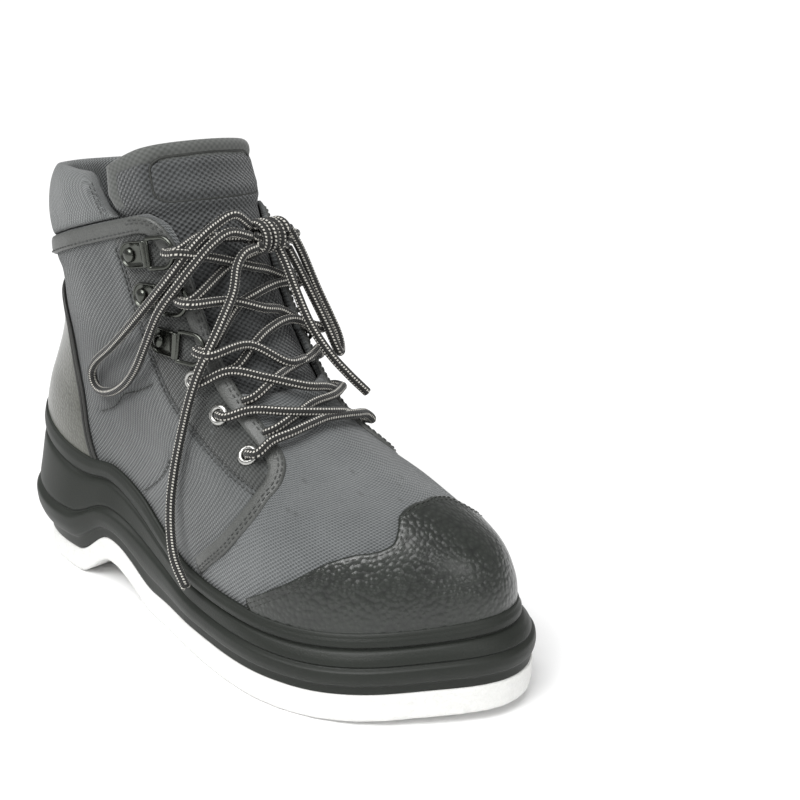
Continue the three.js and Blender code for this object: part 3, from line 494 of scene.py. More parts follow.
facing = np.abs(column + 0.5 - half_cols) > half_cols - quarter_cols
whole = (levels[:-1, None] < throat_bottom - 1e-6) | facing
outside = skin(upper_turn, upper_level, lift)
inside = skin(upper_turn, upper_level, -wall_thick)
seam_uv = cloth_uv(np.concatenate([flat, flat[:, :1]], axis=1), half_cols // 2)
path = traced(quarter_marks, 10)
front_of = np.interp(levels, path[:, 1], path[:, 0])[:, None]
in_quarter = np.hstack([fold(upper_turn), fold(upper_turn)[:, :1]]) < front_of
height = np.concatenate([flat, flat[:, :1]], axis=1)[..., 2]
seam_uv[..., 1] = np.where(in_quarter, height, seam_uv[..., 1])
cordura = weave("woven_upper", (0.055, 0.06, 0.062), (0.175, 0.184, 0.186), 2.0, 0.0006,
                panel=((0.014, 0.0155, 0.0145), (0.07, 0.074, 0.071)))
wall = wall_parts(outside, inside, seam_uv, whole & ~open_cell, True)
upper = mesh_piece("upper_cloth", [wall], cordura, "upper_fabric", "upper")
spots = np.array([v.co for v in upper.data.vertices]) * 1000
points_all = np.concatenate([outside.reshape(-1, 3), inside.reshape(-1, 3)])
behind = np.clip((front_of - fold(upper_turn)) * 60 + 0.5, 0, 1)
facing_path = traced(facing_seam, 10)
order = np.argsort(facing_path[:, 1])
facing_at = np.interp(levels, facing_path[order, 1], facing_path[order, 0])[:, None]
dark = behind * (0.42 + 0.58 * np.clip((fold(upper_turn) - facing_at) * 60 + 0.5, 0, 1) * (upper_level > 0.45))
tone = np.concatenate([dark.ravel(), 0.9 + 0 * dark.ravel()])
lookup = {tuple(np.round(p, 3)): v for p, v in zip(points_all, tone)}
painted(upper, "panel", [lookup.get(tuple(np.round(p, 3)), 0.5) for p in spots])

# ---- Stitching of the upper ----
# Rows of grey thread along the sewn seams and behind the eyelets. Each stitch is a short thread that dips into the
# cloth at both ends.
stitch_along = np.array([-0.5, -0.36, 0, 0.36, 0.5])
stitch_width = np.array([0.25, 0.85, 1, 0.85, 0.25])
stitch_lift = np.array([-0.5, 0.15, 0.45, 0.15, -0.5])


def stitches(path, reach=0.0, lift=0.0, pitch=3.3, size=2.5, thick=0.75):
    """A row of stitches beside a path of turns and levels: one six-sided thread of five rings, set down at equal
    distances along the path in the path's own frame."""
    path = sideways(path, reach)
    line = skin(path[:, 0], path[:, 1], lift)
    run = run_length(line)
    at = np.arange(pitch / 2, run[-1], pitch)
    where = np.stack([np.interp(at, run, path[:, k]) for k in (0, 1)], -1)
    centre = skin(where[:, 0], where[:, 1], lift)
    along = np.stack([np.interp(at, run, np.gradient(line[:, k], run)) for k in range(3)], -1)
    along /= np.linalg.norm(along, axis=1, keepdims=True)
    out = last_ways(where[:, 0], where[:, 1])[2]
    across = np.cross(out, along)
    angle = np.arange(6) * np.pi / 3
    a = np.repeat(stitch_along * size, 6)
    b = (stitch_width[:, None] * np.cos(angle) * thick / 2).ravel()
    c = (stitch_width[:, None] * np.sin(angle) * thick / 2 + stitch_lift[:, None] * thick).ravel()
    points = centre[:, None] + a[:, None] * along[:, None] + b[:, None] * across[:, None] + c[:, None] * out[:, None]
    j, i = (g.ravel() for g in np.meshgrid(np.arange(4), np.arange(6), indexing="ij"))
    one = np.stack([j * 6 + i, (j + 1) * 6 + i, (j + 1) * 6 + (i + 1) % 6, j * 6 + (i + 1) % 6], -1)
    ends = np.array([[0, 1, 2, 3], [0, 3, 4, 5], [27, 26, 25, 24], [29, 28, 27, 24]])
    one = np.concatenate([one, ends])
    faces = (one + 30 * np.arange(len(at))[:, None, None]).reshape(-1, 4)
    return points.reshape(-1, 3), faces, np.zeros((len(faces), 4, 2))


def thread(name, colour, deep):
    """Twisted sewing thread, a little lighter and darker from stitch to stitch."""
    material, tree, shader = surface(name, 0.6)
    patch = add_node(tree, "TexNoise", Scale=260.0, Detail=2.0).outputs["Fac"]
    tree.links.new(mixed(tree, patch, deep, colour), shader.inputs["Base Color"])
    raised(tree, shader, add_node(tree, "TexNoise", Scale=2500.0).outputs["Fac"], 0.0001)
    return material


grey_thread = thread("grey_thread", (0.085, 0.088, 0.085), (0.022, 0.023, 0.022))
rows = []
for inner in both:
    for marks, reaches in [(back_seam, (0,)), (low_seam, (0,)), (facing_seam, (-1.1, 1.1))]:
        rows += [stitches(traced(marks, 12, inner), reach, 0.1) for reach in reaches]
mesh_piece("upper_stitching", rows, grey_thread, "upper_fabric")

# ---- Bindings of the quarters and the collar ----
# Strips of smooth grained binding folded over the cut edges of the quarters and the collar, sewn down with two rows
# of thread on the quarters and one row on the collar.
def leather(name, dark, light, grain, depth, roughness, coat):
    """Pebbled hide: rounded cells divided by creases that are darkened with painted shade, under a thin gloss."""
    material, tree, shader = surface(name, roughness, Coat_Weight=coat, Coat_Roughness=0.28)
    pebble = add_node(tree, "TexVoronoi", {"feature": "SMOOTH_F1"}, Scale=grain, Smoothness=0.35).outputs["Distance"]
    cloud = add_node(tree, "TexNoise", Scale=28.0, Detail=5.0).outputs["Fac"]
    # Painted shade: the colour darkens with each cell's distance into its creases; the slow cloud is the hide's own
    # uneven tone.
    share = maths(tree, "SUBTRACT", maths(tree, "MULTIPLY_ADD", cloud, 0.9, 0.35), maths(tree, "MULTIPLY", pebble, 0.7))
    tree.links.new(mixed(tree, share, dark, light), shader.inputs["Base Color"])
    raised(tree, shader, maths(tree, "SUBTRACT", 1.0, pebble), depth)
    return material


def strip(path, width, thick, base=0.25, columns=11):
    """A strip along a path: across it the face rises as a flattened half circle from the cloth to its thickness."""
    share = np.sin(np.linspace(-np.pi / 2, np.pi / 2, columns))
    tops = np.sqrt(np.clip(1 - np.abs(share) ** 5, 0, 1))
    sides = [sideways(path, s * width / 2) for s in share]
    outer = np.stack([skin(p[:, 0], p[:, 1], base + thick * t) for p, t in zip(sides, tops)])
    inner = np.stack([skin(p[:, 0], p[:, 1], base - 0.1) for p in sides])
    ending = np.minimum(np.arange(len(path)), np.arange(len(path))[::-1])
    outer = inner + (outer - inner) * np.clip(ending / 3, 0.1, 1)[None, :, None] ** 0.5
    return wall_parts(outer, inner, cloth_uv(outer))


binding_hide = leather("smooth_binding", (0.045, 0.047, 0.044), (0.108, 0.112, 0.106), 1500.0, 0.00015, 0.45, 0.15)
for side, inner in (("outer", False), ("inner", True)):
    mesh_piece(f"quarter_binding_{side}_sewn", [strip(traced(quarter_marks, 14, inner), 8.4, 1.45)], binding_hide,
               "binding", f"quarter_binding_{side}")
collar_path = np.column_stack([np.linspace(-0.71, 0.71, 260), 0.889 + 0.0045 * np.abs(np.linspace(-1, 1, 260))])
mesh_piece("collar_binding_sewn", [strip(collar_path, 8.6, 1.5)], binding_hide, "binding", "collar_binding")
rows = [stitches(traced(quarter_marks, 14, inner), reach, 1.6) for inner in both for reach in (-2.6, -0.9)]
rows += [stitches(collar_path, -2.6, 1.65)]
mesh_piece("binding_stitching", rows, grey_thread, "binding")

# ---- Toe cap ----
# A cap of pebbled hide over the toes, from under the midsole's lip to a stepped edge that is sewn down with two rows of
# thread. Its cut edge is rounded over.
lip_turn = np.array([0, 0.15, 0.24, 0.32, 0.37, 0.43, 0.48, 0.53, 0.62, 0.7, 0.82, 0.92, 1])
lip_height = np.array([0.19, 0.2, 0.185, 0.19, 0.222, 0.2, 0.14, 0.1, 0.1, 0.095, 0.11, 0.118, 0.12])
cap_marks = [
    (0.633, 0.135), (0.685, 0.215), (0.743, 0.288), (0.79, 0.318), (0.825, 0.325), (0.855, 0.338), (0.885, 0.367),
    (0.915, 0.395), (0.965, 0.41), (1, 0.41),
]
cap_turn = np.linspace(0.633, 1.367, 190)
cap_top = through(*np.array(cap_marks).T, fold(cap_turn))
cap_low = through(lip_turn, lip_height, fold(cap_turn)) - 0.012
cap_share = np.concatenate([np.linspace(0, 0.93, 46), [0.955, 0.972, 0.985, 0.993, 0.998, 1]])[:, None]
cap_level = cap_low + (cap_top - cap_low) * cap_share
cap_rise = np.sqrt(np.clip(1 - (np.clip(cap_share - 0.955, 0, 1) / 0.045) ** 3, 0, 1))
cap_rise = cap_rise * np.clip((cap_turn - 0.6335) / 0.01, 0, 1) ** 0.5
cap_rise = cap_rise * np.clip((1.3665 - cap_turn) / 0.01, 0, 1) ** 0.5
cap_grid = np.broadcast_to(cap_turn, cap_level.shape)
cap_out = skin(cap_grid, cap_level, 0.4 + 1.75 * cap_rise)
cap_in = skin(cap_grid, cap_level, 0.3 + 0 * cap_level)
cap_hide = leather("pebbled_hide", (0.004, 0.0052, 0.004), (0.024, 0.029, 0.023), 430.0, 0.00055, 0.34, 0.35)
mesh_piece("toe_cap_hide", [wall_parts(cap_out, cap_in, cloth_uv(cap_out))], cap_hide, "leather", "toe_cap")
cap_path = np.column_stack([cap_turn, cap_top])
dark_thread = thread("dark_thread", (0.04, 0.042, 0.038), (0.012, 0.013, 0.011))
rows = [stitches(cap_path, reach, 2.0, 3.0, 2.3, 0.5) for reach in (-2.2, -4.4)]
mesh_piece("toe_cap_stitching", rows, dark_thread, "leather")

# ---- Heel counter ----
# Glossy olive hide round the heel, narrowing upwards from the midsole's lip to the back of the shaft, with a dark
# double piping along its cut edge. The hide's olive tint is its own; its lighter colour is painted sheen on dark hide.
counter_share = np.array([0, 0.17, 0.34, 0.51, 0.66, 0.79, 0.88, 0.95, 1])
counter_turn = np.array([0.333, 0.314, 0.3, 0.286, 0.27, 0.252, 0.228, 0.195, 0.15])
counter_top = 0.74
q = np.linspace(0, 1, 60)[:, None]
s = np.sin(np.linspace(-np.pi / 2, np.pi / 2, 100))
grid_turn = s * through(counter_share, counter_turn, q)
low = through(lip_turn, lip_height, fold(grid_turn)) - 0.012
grid_level = low + (counter_top - low) * q
round_off = np.sqrt(np.clip(1 - np.abs(s) ** 40, 0, 1)) * np.sqrt(np.clip(1 - q ** 40, 0, 1))
counter_out = skin(grid_turn, grid_level, 0.4 + 1.6 * round_off)
counter_in = skin(grid_turn, grid_level, 0.3 + 0 * grid_level)
# Painted sheen: both colours are lighter than the dark hide to stand in for its shine, over the hide's own olive tint.
counter_hide_painted_sheen = leather("olive_hide_painted_sheen", (0.033, 0.034, 0.025), (0.105, 0.107, 0.086), 700.0, 0.00025, 0.3, 0.5)
counter = wall_parts(counter_out, counter_in, cloth_uv(counter_out))
mesh_piece("heel_counter_hide", [counter], counter_hide_painted_sheen, "leather", "heel_counter")
rim = np.vstack([
    np.column_stack([through(counter_share, counter_turn, q), grid_level[:, -1]]),
    np.column_stack([np.linspace(0.15, -0.15, 40), np.full(40, counter_top)])[1:-1],
    np.column_stack([-through(counter_share, counter_turn, q), grid_level[:, 0]])[::-1],
])
piping = leather("dark_piping", (0.012, 0.012, 0.011), (0.035, 0.036, 0.033), 1600.0, 0.0001, 0.5, 0.1)
ropes = [rope(skin(*sideways(rim, reach).T, 1.35), 0.95, 10) for reach in (-0.2, 2.2)]
mesh_piece("counter_piping", ropes, piping, "leather")

# ---- Collar pad ----
# A foam roll in light woven cloth on the upper's top edge. It runs round the back from side to side, is quilted down at
# each front corner, and slopes off there towards the tongue.
pad_end, pad_foot = 0.6, 0.9135
pad_section = np.array([
    (pad_foot, -3), (pad_foot, 0.1), (0.93, 1.7), (0.957, 2.5), (0.981, 1.6), (0.997, -1), (0.999, -4.2), (0.994, -6.8),
    (0.972, -8.6), (0.94, -8.4), (pad_foot, -6.4), (pad_foot, -3),
])
pad_marks = np.column_stack([pad_section[:, 0] * upper_height, pad_section[:, 1], 0 * pad_section[:, 1]])
pad_loop = smooth_path(pad_marks, 4)[:-1]
pad_turn = np.sin(np.linspace(-np.pi / 2, np.pi / 2, 230)) * pad_end
tall = 1 - 0.93 * through([0, 0.47, 0.6], [0, 0, 1], np.abs(pad_turn), True)
plump = np.clip((pad_end - np.abs(pad_turn)) / 0.02, 0, 1) ** 0.5
pad_level = pad_foot + (pad_loop[:, :1] / upper_height - pad_foot) * tall * (0.1 + 0.9 * plump)
pad_lift = -3 + (pad_loop[:, 1:2] + 3) * (0.25 + 0.75 * tall) * (0.05 + 0.95 * plump)
quilt = 0.9 * np.exp(-(((np.abs(pad_turn) - 0.5 - 0.9 * (1 - pad_level)) / 0.012) ** 2))
pad_lift = pad_lift - quilt * np.sign(pad_lift + 3) * (np.abs(pad_lift + 3) > 2)
pad_lift = pad_lift + 0.35 * np.sin(pad_turn * 41 + pad_level * 50) * np.clip(pad_lift + 3, -1, 1)
pad_points = skin(pad_turn + 0 * pad_level, pad_level, pad_lift)


def tube_parts(points):
    """Quads between rings of points that close on themselves, with the pattern in millimetres round and along them."""
    rows, cols = points.shape[:2]
    uv = cloth_uv(np.concatenate([points, points[:, :1]], axis=1))
    j, i = (g.ravel() for g in np.meshgrid(np.arange(rows - 1), np.arange(cols), indexing="ij"))
    k = (i + 1) % cols
    faces = np.stack([j * cols + i, j * cols + k, (j + 1) * cols + k, (j + 1) * cols + i], -1)
    coords = np.stack([uv[j, i], uv[j, i + 1], uv[j + 1, i + 1], uv[j + 1, i]], 1)
    return points.reshape(-1, 3), faces, coords


rings = pad_points.transpose(1, 0, 2)
tips = [rings[0].mean(0) + 0 * rings[0], rings[-1].mean(0) + 0 * rings[-1]]
pad_cloth = weave("pad_cloth", (0.085, 0.09, 0.09), (0.215, 0.225, 0.225), 1.9, 0.0006)
roll = tube_parts(np.concatenate([tips[:1], rings, tips[1:]]))
pad = mesh_piece("collar_pad_cloth", [roll], pad_cloth, "padding", "collar_pad")
rows = []
for sign in (-1, 1):
    seam_level = np.linspace(0.925, 0.985, 30)
    seam_turn = sign * (0.5 + 0.9 * (1 - seam_level))
    path = np.column_stack([seam_turn, seam_level])
    rows += [stitches(path, reach, 1.4, 2.8, 2.1, 0.6) for reach in (-1.2, 1.2)]
mesh_piece("collar_pad_stitching", rows, grey_thread, "padding")

# ---- Tongue ----
# A padded tongue of coarse mesh inside the throat. Above the quarters it comes forward and spreads, and there it has a
# smooth grained edge, a sewn groove inside that edge, and a plain D sewn on its front.
tongue_level = [0.56, 0.62, 0.68, 0.74, 0.8, 0.86, 0.9, 0.93, 0.96, 1, 1, 1]
tongue_half = [0.2, 0.235, 0.26, 0.28, 0.3, 0.32, 0.35, 0.4, 0.425, 0.425, 0.42, 0.4]
tongue_out = [-1.3, -1.3, -1.3, -1.3, -1.3, -1.3, -1.3, -0.4, 0, 0, 0, -0.2]
tongue_fat = [0.5, 0.8, 1, 1, 1, 1, 1, 1, 1, 1, 0.9, 0.6]
tongue_rise = [0, 0, 0, 0, 0, 0, 0, 0, 0.1, 0.4, 0.75, 1]


def tongue_skin(across, row, depth=0.0, lift=0.0):
    """A point of the tongue: across it from -1 to 1 round the front, along it by the row of its table. It follows the
    upper, and its top rises in an arch that leans back. Depth goes from 0 at its face to 1 at its back."""
    across, row = np.broadcast_arrays(np.asarray(across, float), np.asarray(row, float))
    columns = tongue_level, tongue_half, tongue_out, tongue_fat, tongue_rise
    at = [np.interp(row, np.arange(12), column) for column in columns]
    fat = 6.5 * at[3] * (1 - 0.35 * np.clip((np.abs(across) - 0.72) / 0.28, 0, 1) ** 2)
    rounding = np.sqrt(np.clip(1 - np.abs(across) ** 24, 0, 1))
    rounding = rounding * np.sqrt(np.clip(1 - np.clip(row - 10.3, 0, 1) ** 3 / 0.343, 0, 1))
    out = at[2] * 2.5 - fat / 2 + fat * (0.5 - depth) * (0.03 + 0.97 * rounding) + lift
    point = skin(1 + across * at[1], at[0], out)
    arch = at[4] * 24 * (1 - 0.75 * across * across)
    return point + np.stack([-0.35 * arch, 0 * arch, arch], -1)


across = np.sin(np.linspace(-np.pi / 2, np.pi / 2, 110))
row = np.concatenate([np.linspace(0, 10.3, 84), 10.3 + 0.7 * np.sin(np.linspace(0.1, np.pi / 2, 12))])[:, None]
face = tongue_skin(across, row)
face_run = np.cumsum(np.linalg.norm(np.diff(face, axis=1, prepend=face[:, :1]), axis=2), axis=1)
to_side = np.minimum(face_run, face_run[:, -1:] - face_run)
climb = np.cumsum(np.linalg.norm(np.diff(face, axis=0, prepend=face[:1]), axis=2), axis=0)
to_edge = np.minimum(to_side, climb[-1:] - climb)
d_across = 0.5 * np.array([-1, -1, -0.96, -0.8, -0.4, 0, 0.4, 0.8, 0.96, 1, 1, 0.9, 0.5, 0, -0.5, -0.9, -1])
d_row = np.array([7.7, 8.5, 9.3, 9.75, 9.9, 9.95, 9.9, 9.75, 9.3, 8.5, 7.7, 7.3, 7.2, 7.2, 7.2, 7.3, 7.7])
d_path = smooth_path(np.column_stack([d_across * 10, d_row, 0 * d_row]), 10)
d_line = tongue_skin(d_path[:, 0] / 10, d_path[:, 1])
from_d = np.full(face.shape[:2], 1e9)
for k in range(0, len(d_line), 16):
    from_d = np.minimum(from_d, np.linalg.norm(face[..., None, :] - d_line[k:k + 16], axis=-1).min(-1))
swell = -0.7 * np.exp(-(((to_edge - 9.3) / 1.3) ** 2)) - 1.0 * np.exp(-((from_d / 1.5) ** 2))
swell += 0.5 * np.exp(-(((to_edge - 4.2) / 3) ** 2)) + 0.5 * np.exp(-(((from_d - 5) / 4) ** 2))
swell *= np.clip((row - 6.5) / 1.2, 0, 1)
front_face = tongue_skin(across, row, 0, swell)
back_face = tongue_skin(across, row, 1)
tongue_mesh = weave("tongue_mesh", (0.012, 0.013, 0.013), (0.085, 0.09, 0.092), 2.7, 0.0009,
                    panel=((0.055, 0.058, 0.054), (0.11, 0.115, 0.109)), smooth_panel=True)
tongue_wall = wall_parts(front_face, back_face, cloth_uv(face, 55))
tongue = mesh_piece("tongue_padded", [tongue_wall], tongue_mesh, "tongue_fabric", "tongue")
hem = np.clip((9 - to_edge) * 2 + 0.5, 0, 1) * np.clip((row - 6.9) * 4, 0, 1)
painted(tongue, "panel", np.concatenate([hem.ravel(), 0.6 + 0 * hem.ravel()]))
edge_cord = rope(tongue_skin(d_path[:, 0] / 10, d_path[:, 1], 0, -0.75)[:-1], 0.6, 8)
mesh_piece("tongue_d_stitching", [edge_cord], dark_thread, "tongue_fabric")

# ---- Eyelets ----
# Three rolled eyelets of bright nickel a side, set through the facing: each is one closed profile turned round the
# hole's axis.
def seat_at(turn, level, side, lift=0.0):
    """A frame on the upper: forward to the throat, across, and out, its origin off the face. Side is -1 outside."""
    turn = np.atleast_1d(turn if side < 0 else 2 - turn)
    level = np.atleast_1d(level)
    around, _, out = last_ways(turn, level)
    forward = -side * around[0] / np.linalg.norm(around[0])
    out = out[0]
    return np.stack([forward, np.cross(out, forward), out]), skin(turn, level, lift)[0]


def turned(profile, seat, count=40):
    """A closed profile of radius and height turned round a seat's out direction."""
    axes, origin = seat
    angle = 2 * np.pi * np.arange(count) / count
    r, z = np.array(profile, float).T
    local = np.stack([r[:, None] * np.cos(angle), r[:, None] * np.sin(angle), z[:, None] + 0 * angle], -1)
    return tube_parts(local @ axes + origin)


def metal(name, dark, light, roughness):
    """Plated metal: fine scratches in the shine and a slow cloud in the colour."""
    material, tree, shader = surface(name, roughness, Metallic=1.0)
    cloud = add_node(tree, "TexNoise", Scale=120.0, Detail=4.0).outputs["Fac"]
    tree.links.new(mixed(tree, cloud, dark, light), shader.inputs["Base Color"])
    raised(tree, shader, add_node(tree, "TexNoise", Scale=900.0, Detail=3.0).outputs["Fac"], 0.00005)
    return material


nickel = metal("nickel", (0.36, 0.36, 0.34), (0.62, 0.62, 0.6), 0.25)
eyelet_profile = [
    (2.4, -2.5), (2.4, 0.8), (2.65, 1.5), (3.2, 1.95), (3.9, 2.0), (4.6, 1.65), (5.1, 1.05), (5.2, 0.5), (4.9, 0.25),
    (3.1, 0.2), (2.95, -0.2), (2.9, -2.5), (2.65, -2.65), (2.4, -2.5),
]
eyelets = [turned(eyelet_profile, seat_at(t, v, side)) for side in (-1, 1) for t, v in eyelet_marks]
names = [f"eyelet_{side}_{k}" for side in ("outer", "inner") for k in (1, 2, 3)]
mesh_piece("eyelets_rolled", eyelets, nickel, "nickel", *names)

# ---- Ring holders ----
# Three stamped plates a side in dark plated steel, each riveted through the quarter under a domed head, with a raised
# rim and a front edge folded round the straight wire of its ring.
holder_marks = [(0.652, 0.715), (0.642, 0.785), (0.642, 0.848)]
plate_long, plate_wide, ring_long, ring_wide, ring_wire = 18.5, 13, 18, 16.5, 2.2
gunmetal = metal("gunmetal", (0.05, 0.053, 0.047), (0.13, 0.136, 0.122), 0.24)
rivet_profile = [(0.01, 0.9), (3.5, 0.9), (3.5, 1.6), (3.2, 2.2), (2.5, 2.8), (1.5, 3.2), (0.6, 3.35), (0.01, 3.4)]
angle = np.linspace(np.pi / 2, 3 * np.pi / 2, 22)
bow = np.column_stack([np.cos(angle), np.sin(angle)]) * plate_wide / 2
nose = plate_long - plate_wide / 2
plate_side = [(0.3 * nose, -6.5), (0.65 * nose, -6.5), (nose, -6.3)]
plate_edge = np.vstack([bow, plate_side, [(nose, 0)], [(x, -y) for x, y in plate_side[::-1]]])
plate_rows = [
    (0.02, 0), (1, 0), (1.0, 0.9), (0.985, 1.5), (0.95, 1.85), (0.9, 1.85), (0.865, 1.5), (0.84, 0.95), (0.5, 0.9),
    (0.02, 0.9),
]
middle = np.array([2.6, 0])
plates, rings_all = [], []
ring_seats = {}
for side in (-1, 1):
    for k, (t, v) in enumerate(holder_marks):
        axes, origin = seat_at(t, v, side, 1.2)
        flat_rows = np.stack([
            np.column_stack([middle + share * (plate_edge - middle), np.full(len(plate_edge), z)])
            for share, z in plate_rows
        ])
        plates.append(tube_parts(flat_rows @ axes + origin))
        plates.append(turned(rivet_profile, (axes, origin), 28))
        fold_bar = np.column_stack([np.full(14, nose - 0.2), np.linspace(-6.4, 6.4, 14), np.full(14, 1.2)])
        plates.append(rope(fold_bar @ axes + origin, 1.75, 14))
        hinge = np.array([nose + 0.3, 0, 0]) @ axes + origin
        ring_axes = seat_at(t + 0.08, v, side)[0]
        ring_seats[side, k] = ring_axes, hinge
        half = ring_wide / 2 - ring_wire / 2
        bend = np.linspace(-np.pi / 2, np.pi / 2, 26)
        bow_x, bow_y = ring_long - ring_wide / 2 + half * np.cos(bend), half * np.sin(bend)
        straight = [(1.1, half * s) for s in (0.85, 0.5, 0, -0.5, -0.85)]
        line = np.vstack([straight, [(1.5, -half), (4, -half), (7, -half)],
                          np.column_stack([bow_x, bow_y]), [(7, half), (4, half), (1.5, half)]])
        centre = np.column_stack([line, np.full(len(line), 1.1)])
        along = np.roll(centre, -1, 0) - np.roll(centre, 1, 0)
        along /= np.linalg.norm(along, axis=1, keepdims=True)
        away = np.cross(along, (0, 0, 1))
        wire_angle = 2 * np.pi * np.arange(12) / 12
        spoke = np.cos(wire_angle)[:, None] * away[:, None] + np.sin(wire_angle)[:, None] * np.array([0, 0, 1])
        wire = centre[:, None] + 1.1 * spoke
        wire = np.concatenate([wire, wire[:1]])
        rings_all.append(tube_parts(wire @ ring_axes + hinge))
for name, parts in (("ring_plate", plates), ("lace_ring", rings_all)):
    nodes = [f"{name}_{side}_{k}" for side in ("outer", "inner") for k in (1, 2, 3)]
    mesh_piece(name + "s_plated", parts, gunmetal, "gunmetal", *nodes)

# ---- Lacing ----
# The same lace, laced criss-cross: a bar over the vamp between the lowest eyelets, then pairs that come from under one
# facing, cross over the tongue and go down through the next eyelet or ring, and from the top rings on to the knot.
strand_rows = [
    (-1, 2, 0.588, 0.62, 0.617, 0), (1, 2, 0.572, 0.597, 0.62, 1), (-1, 3, 0.642, 0.677, 0.683, 0),
    (1, 3, 0.622, 0.643, 0.68, 1), (-1, 4, 0.69, 0.735, 0.742, 0), (1, 4, 0.679, 0.684, 0.736, 1),
    (-1, 5, 0.753, 0.784, 0.793, 0), (1, 5, 0.744, 0.763, 0.786, 1), (-1, 6, 0.806, 0.83, 0.84, 0),
    (1, 6, 0.8, 0.819, 0.84, 1),
]
over_lift = 5.1


def at_side(turn, level, lift, side):
    """A point off the face on one side."""
    return skin(np.atleast_1d(turn if side < 0 else 2 - turn), np.atleast_1d(level), lift)[0]


def under_lift(level):
    """How high a lace's middle lies over the vamp, and lower over the tongue."""
    s = np.clip((level - throat_bottom + 0.01) / 0.06, 0, 1)
    return 2.3 + 0.45 + 0.6 - 3.85 * s * s * (3 - 2 * s)


def in_seat(seat, *points):
    """Points in a seat's own frame, as points of the boot."""
    return [np.array(p, float) @ seat[0] + seat[1] for p in points]


strands = []
for side, to, start, centre_level, edge_level, over in strand_rows:
    if to <= 4 and start < throat_bottom:
        path = [at_side(0.83, start - 0.004, 0.6, side), at_side(0.862, start, 2.9, side)]
    elif to <= 4:
        path = [at_side(0.79, start - 0.008, -4.2, side), at_side(0.825, start - 0.003, -3.3, side),
                at_side(0.862, start, under_lift(start), side)]
    else:
        path = in_seat(ring_seats[side, to - 5], (13.3, 0.5, 2.9), (15.1, 0.6, 0.5), (19.5, 0.5, 0.9))
    high = 2.76 if over else 0
    path += [
        at_side(0.93, start + 0.6 * (centre_level - start), under_lift(start) + 0.6 * high, side),
        at_side(1, centre_level, under_lift(centre_level) + high, -1),
        at_side(0.91, centre_level + 0.62 * (edge_level - centre_level),
                (under_lift(centre_level) + high + over_lift) / 2, -side),
    ]
    if to <= 3:
        t, v = eyelet_marks[to - 1]
        seat = seat_at(t, v, -side)
        path += [at_side(0.835, edge_level, over_lift + 0.1, -side),
                 *in_seat(seat, (7, 0, 5), (2.2, 0, 3.6), (0.3, 0, 0.4), (0, 0, -3.4))]
    else:
        path += in_seat(ring_seats[-side, to - 4],
                        (22.5, -0.6, 4.1), (18, -0.6, 4.8), (15, -0.2, 4.2), (13.2, 0.3, 2.6))
    strands.append(rope(smooth_path(path, 7), lace_thick / 2))
low_seats = [seat_at(*eyelet_marks[0], side) for side in (-1, 1)]
bar_marks = [(0.825, 0.556, 0.6), (0.885, 0.572, 0.2), (0.945, 0.585, -0.6), (1, 0.59, -0.8)]
bar_middle = [at_side(t, v, over_lift + e, -1) for t, v, e in bar_marks]
bar_far = [at_side(t, v, over_lift + e, 1) for t, v, e in bar_marks[-2::-1]]
dip = [(0, 0, -3.4), (0.3, 0, 0.4), (2.2, 0, 3.6), (7, 0, 5)]
bar = [*in_seat(low_seats[0], *dip), *bar_middle, *bar_far, *in_seat(low_seats[1], *dip[::-1])]
strands.append(rope(smooth_path(bar, 7), lace_thick / 2))
for side, knot_side in ((-1, [(94, -9, 190), (101, 2, 190)]), (1, [(104, 29, 186), (106, 20, 189)])):
    top = in_seat(ring_seats[side, 2], (13.2, 0.4, 2.6), (15, 0.5, 0.6), (19.5, 0.5, 1.0))
    to_knot = [*top, at_side(0.885, 0.862, 0.8, side), *map(np.array, knot_side)]
    strands.append(rope(smooth_path(to_knot, 7), lace_thick / 2))
mesh_piece("lacing_braided", strands, lace_braid, "lace", "lace_crossings")

# ---- Midsole ----
# One piece of matt black moulded rubber: a fine strip at the bottom, a broad lower wall, two grooves between rolled
# steps, and a thin lip rolled over the foot of the upper. It flares at the heel, and inside it is a tray.
tread_station = [0, 0.06, 0.19, 0.275, 0.42, 0.78, 1]
tread_height = [0.3, 0, 0, 1.08, 0, 0, 0.35]
felt_thick = 13
side_rows = np.array([
    (0, 0, -1, 0.5, 0), (0.12, 0.15, -1.6, 2.4, 0), (0.15, 0.19, 0.3, 4, 0), (0.25, 0.31, 0.8, 6, 0),
    (0.36, 0.44, 0.2, 7.2, 0), (0.4, 0.49, -2.2, 6, 0), (0.43, 0.53, -0.8, 6.4, 0.1), (0.6, 0.63, -0.8, 5, 0.3),
    (0.8, 0.73, -0.8, 3, 0.65), (0.83, 0.77, -2.6, 2.4, 0.75), (0.86, 0.81, -0.6, 2, 0.85), (0.93, 0.91, -0.2, 1, 0.95),
    (0.99, 0.98, -1, 0, 1),
])
sole_turn = 2 * np.arange(320) / 320
sole_fold = fold(sole_turn)
station = (1 - np.cos(np.pi * sole_fold)) / 2
tread = felt_thick * through(tread_station, tread_height, station, True)
lip_at = through(lip_turn, lip_height, sole_fold)


def sole_outline(turn):
    """The sole's plan: the foot's half width to either side of a middle line that swings in at the toe."""
    t = fold(turn)
    s = (1 - np.cos(np.pi * t)) / 2
    side = np.where(np.mod(turn, 2) <= 1, -1.0, 1.0)
    y = ball_half * (through(plan_station, plan_swing, s) + side * through(plan_turn, plan_foot, t))
    return np.stack([s * sole_length - heel_to_origin, y], -1)


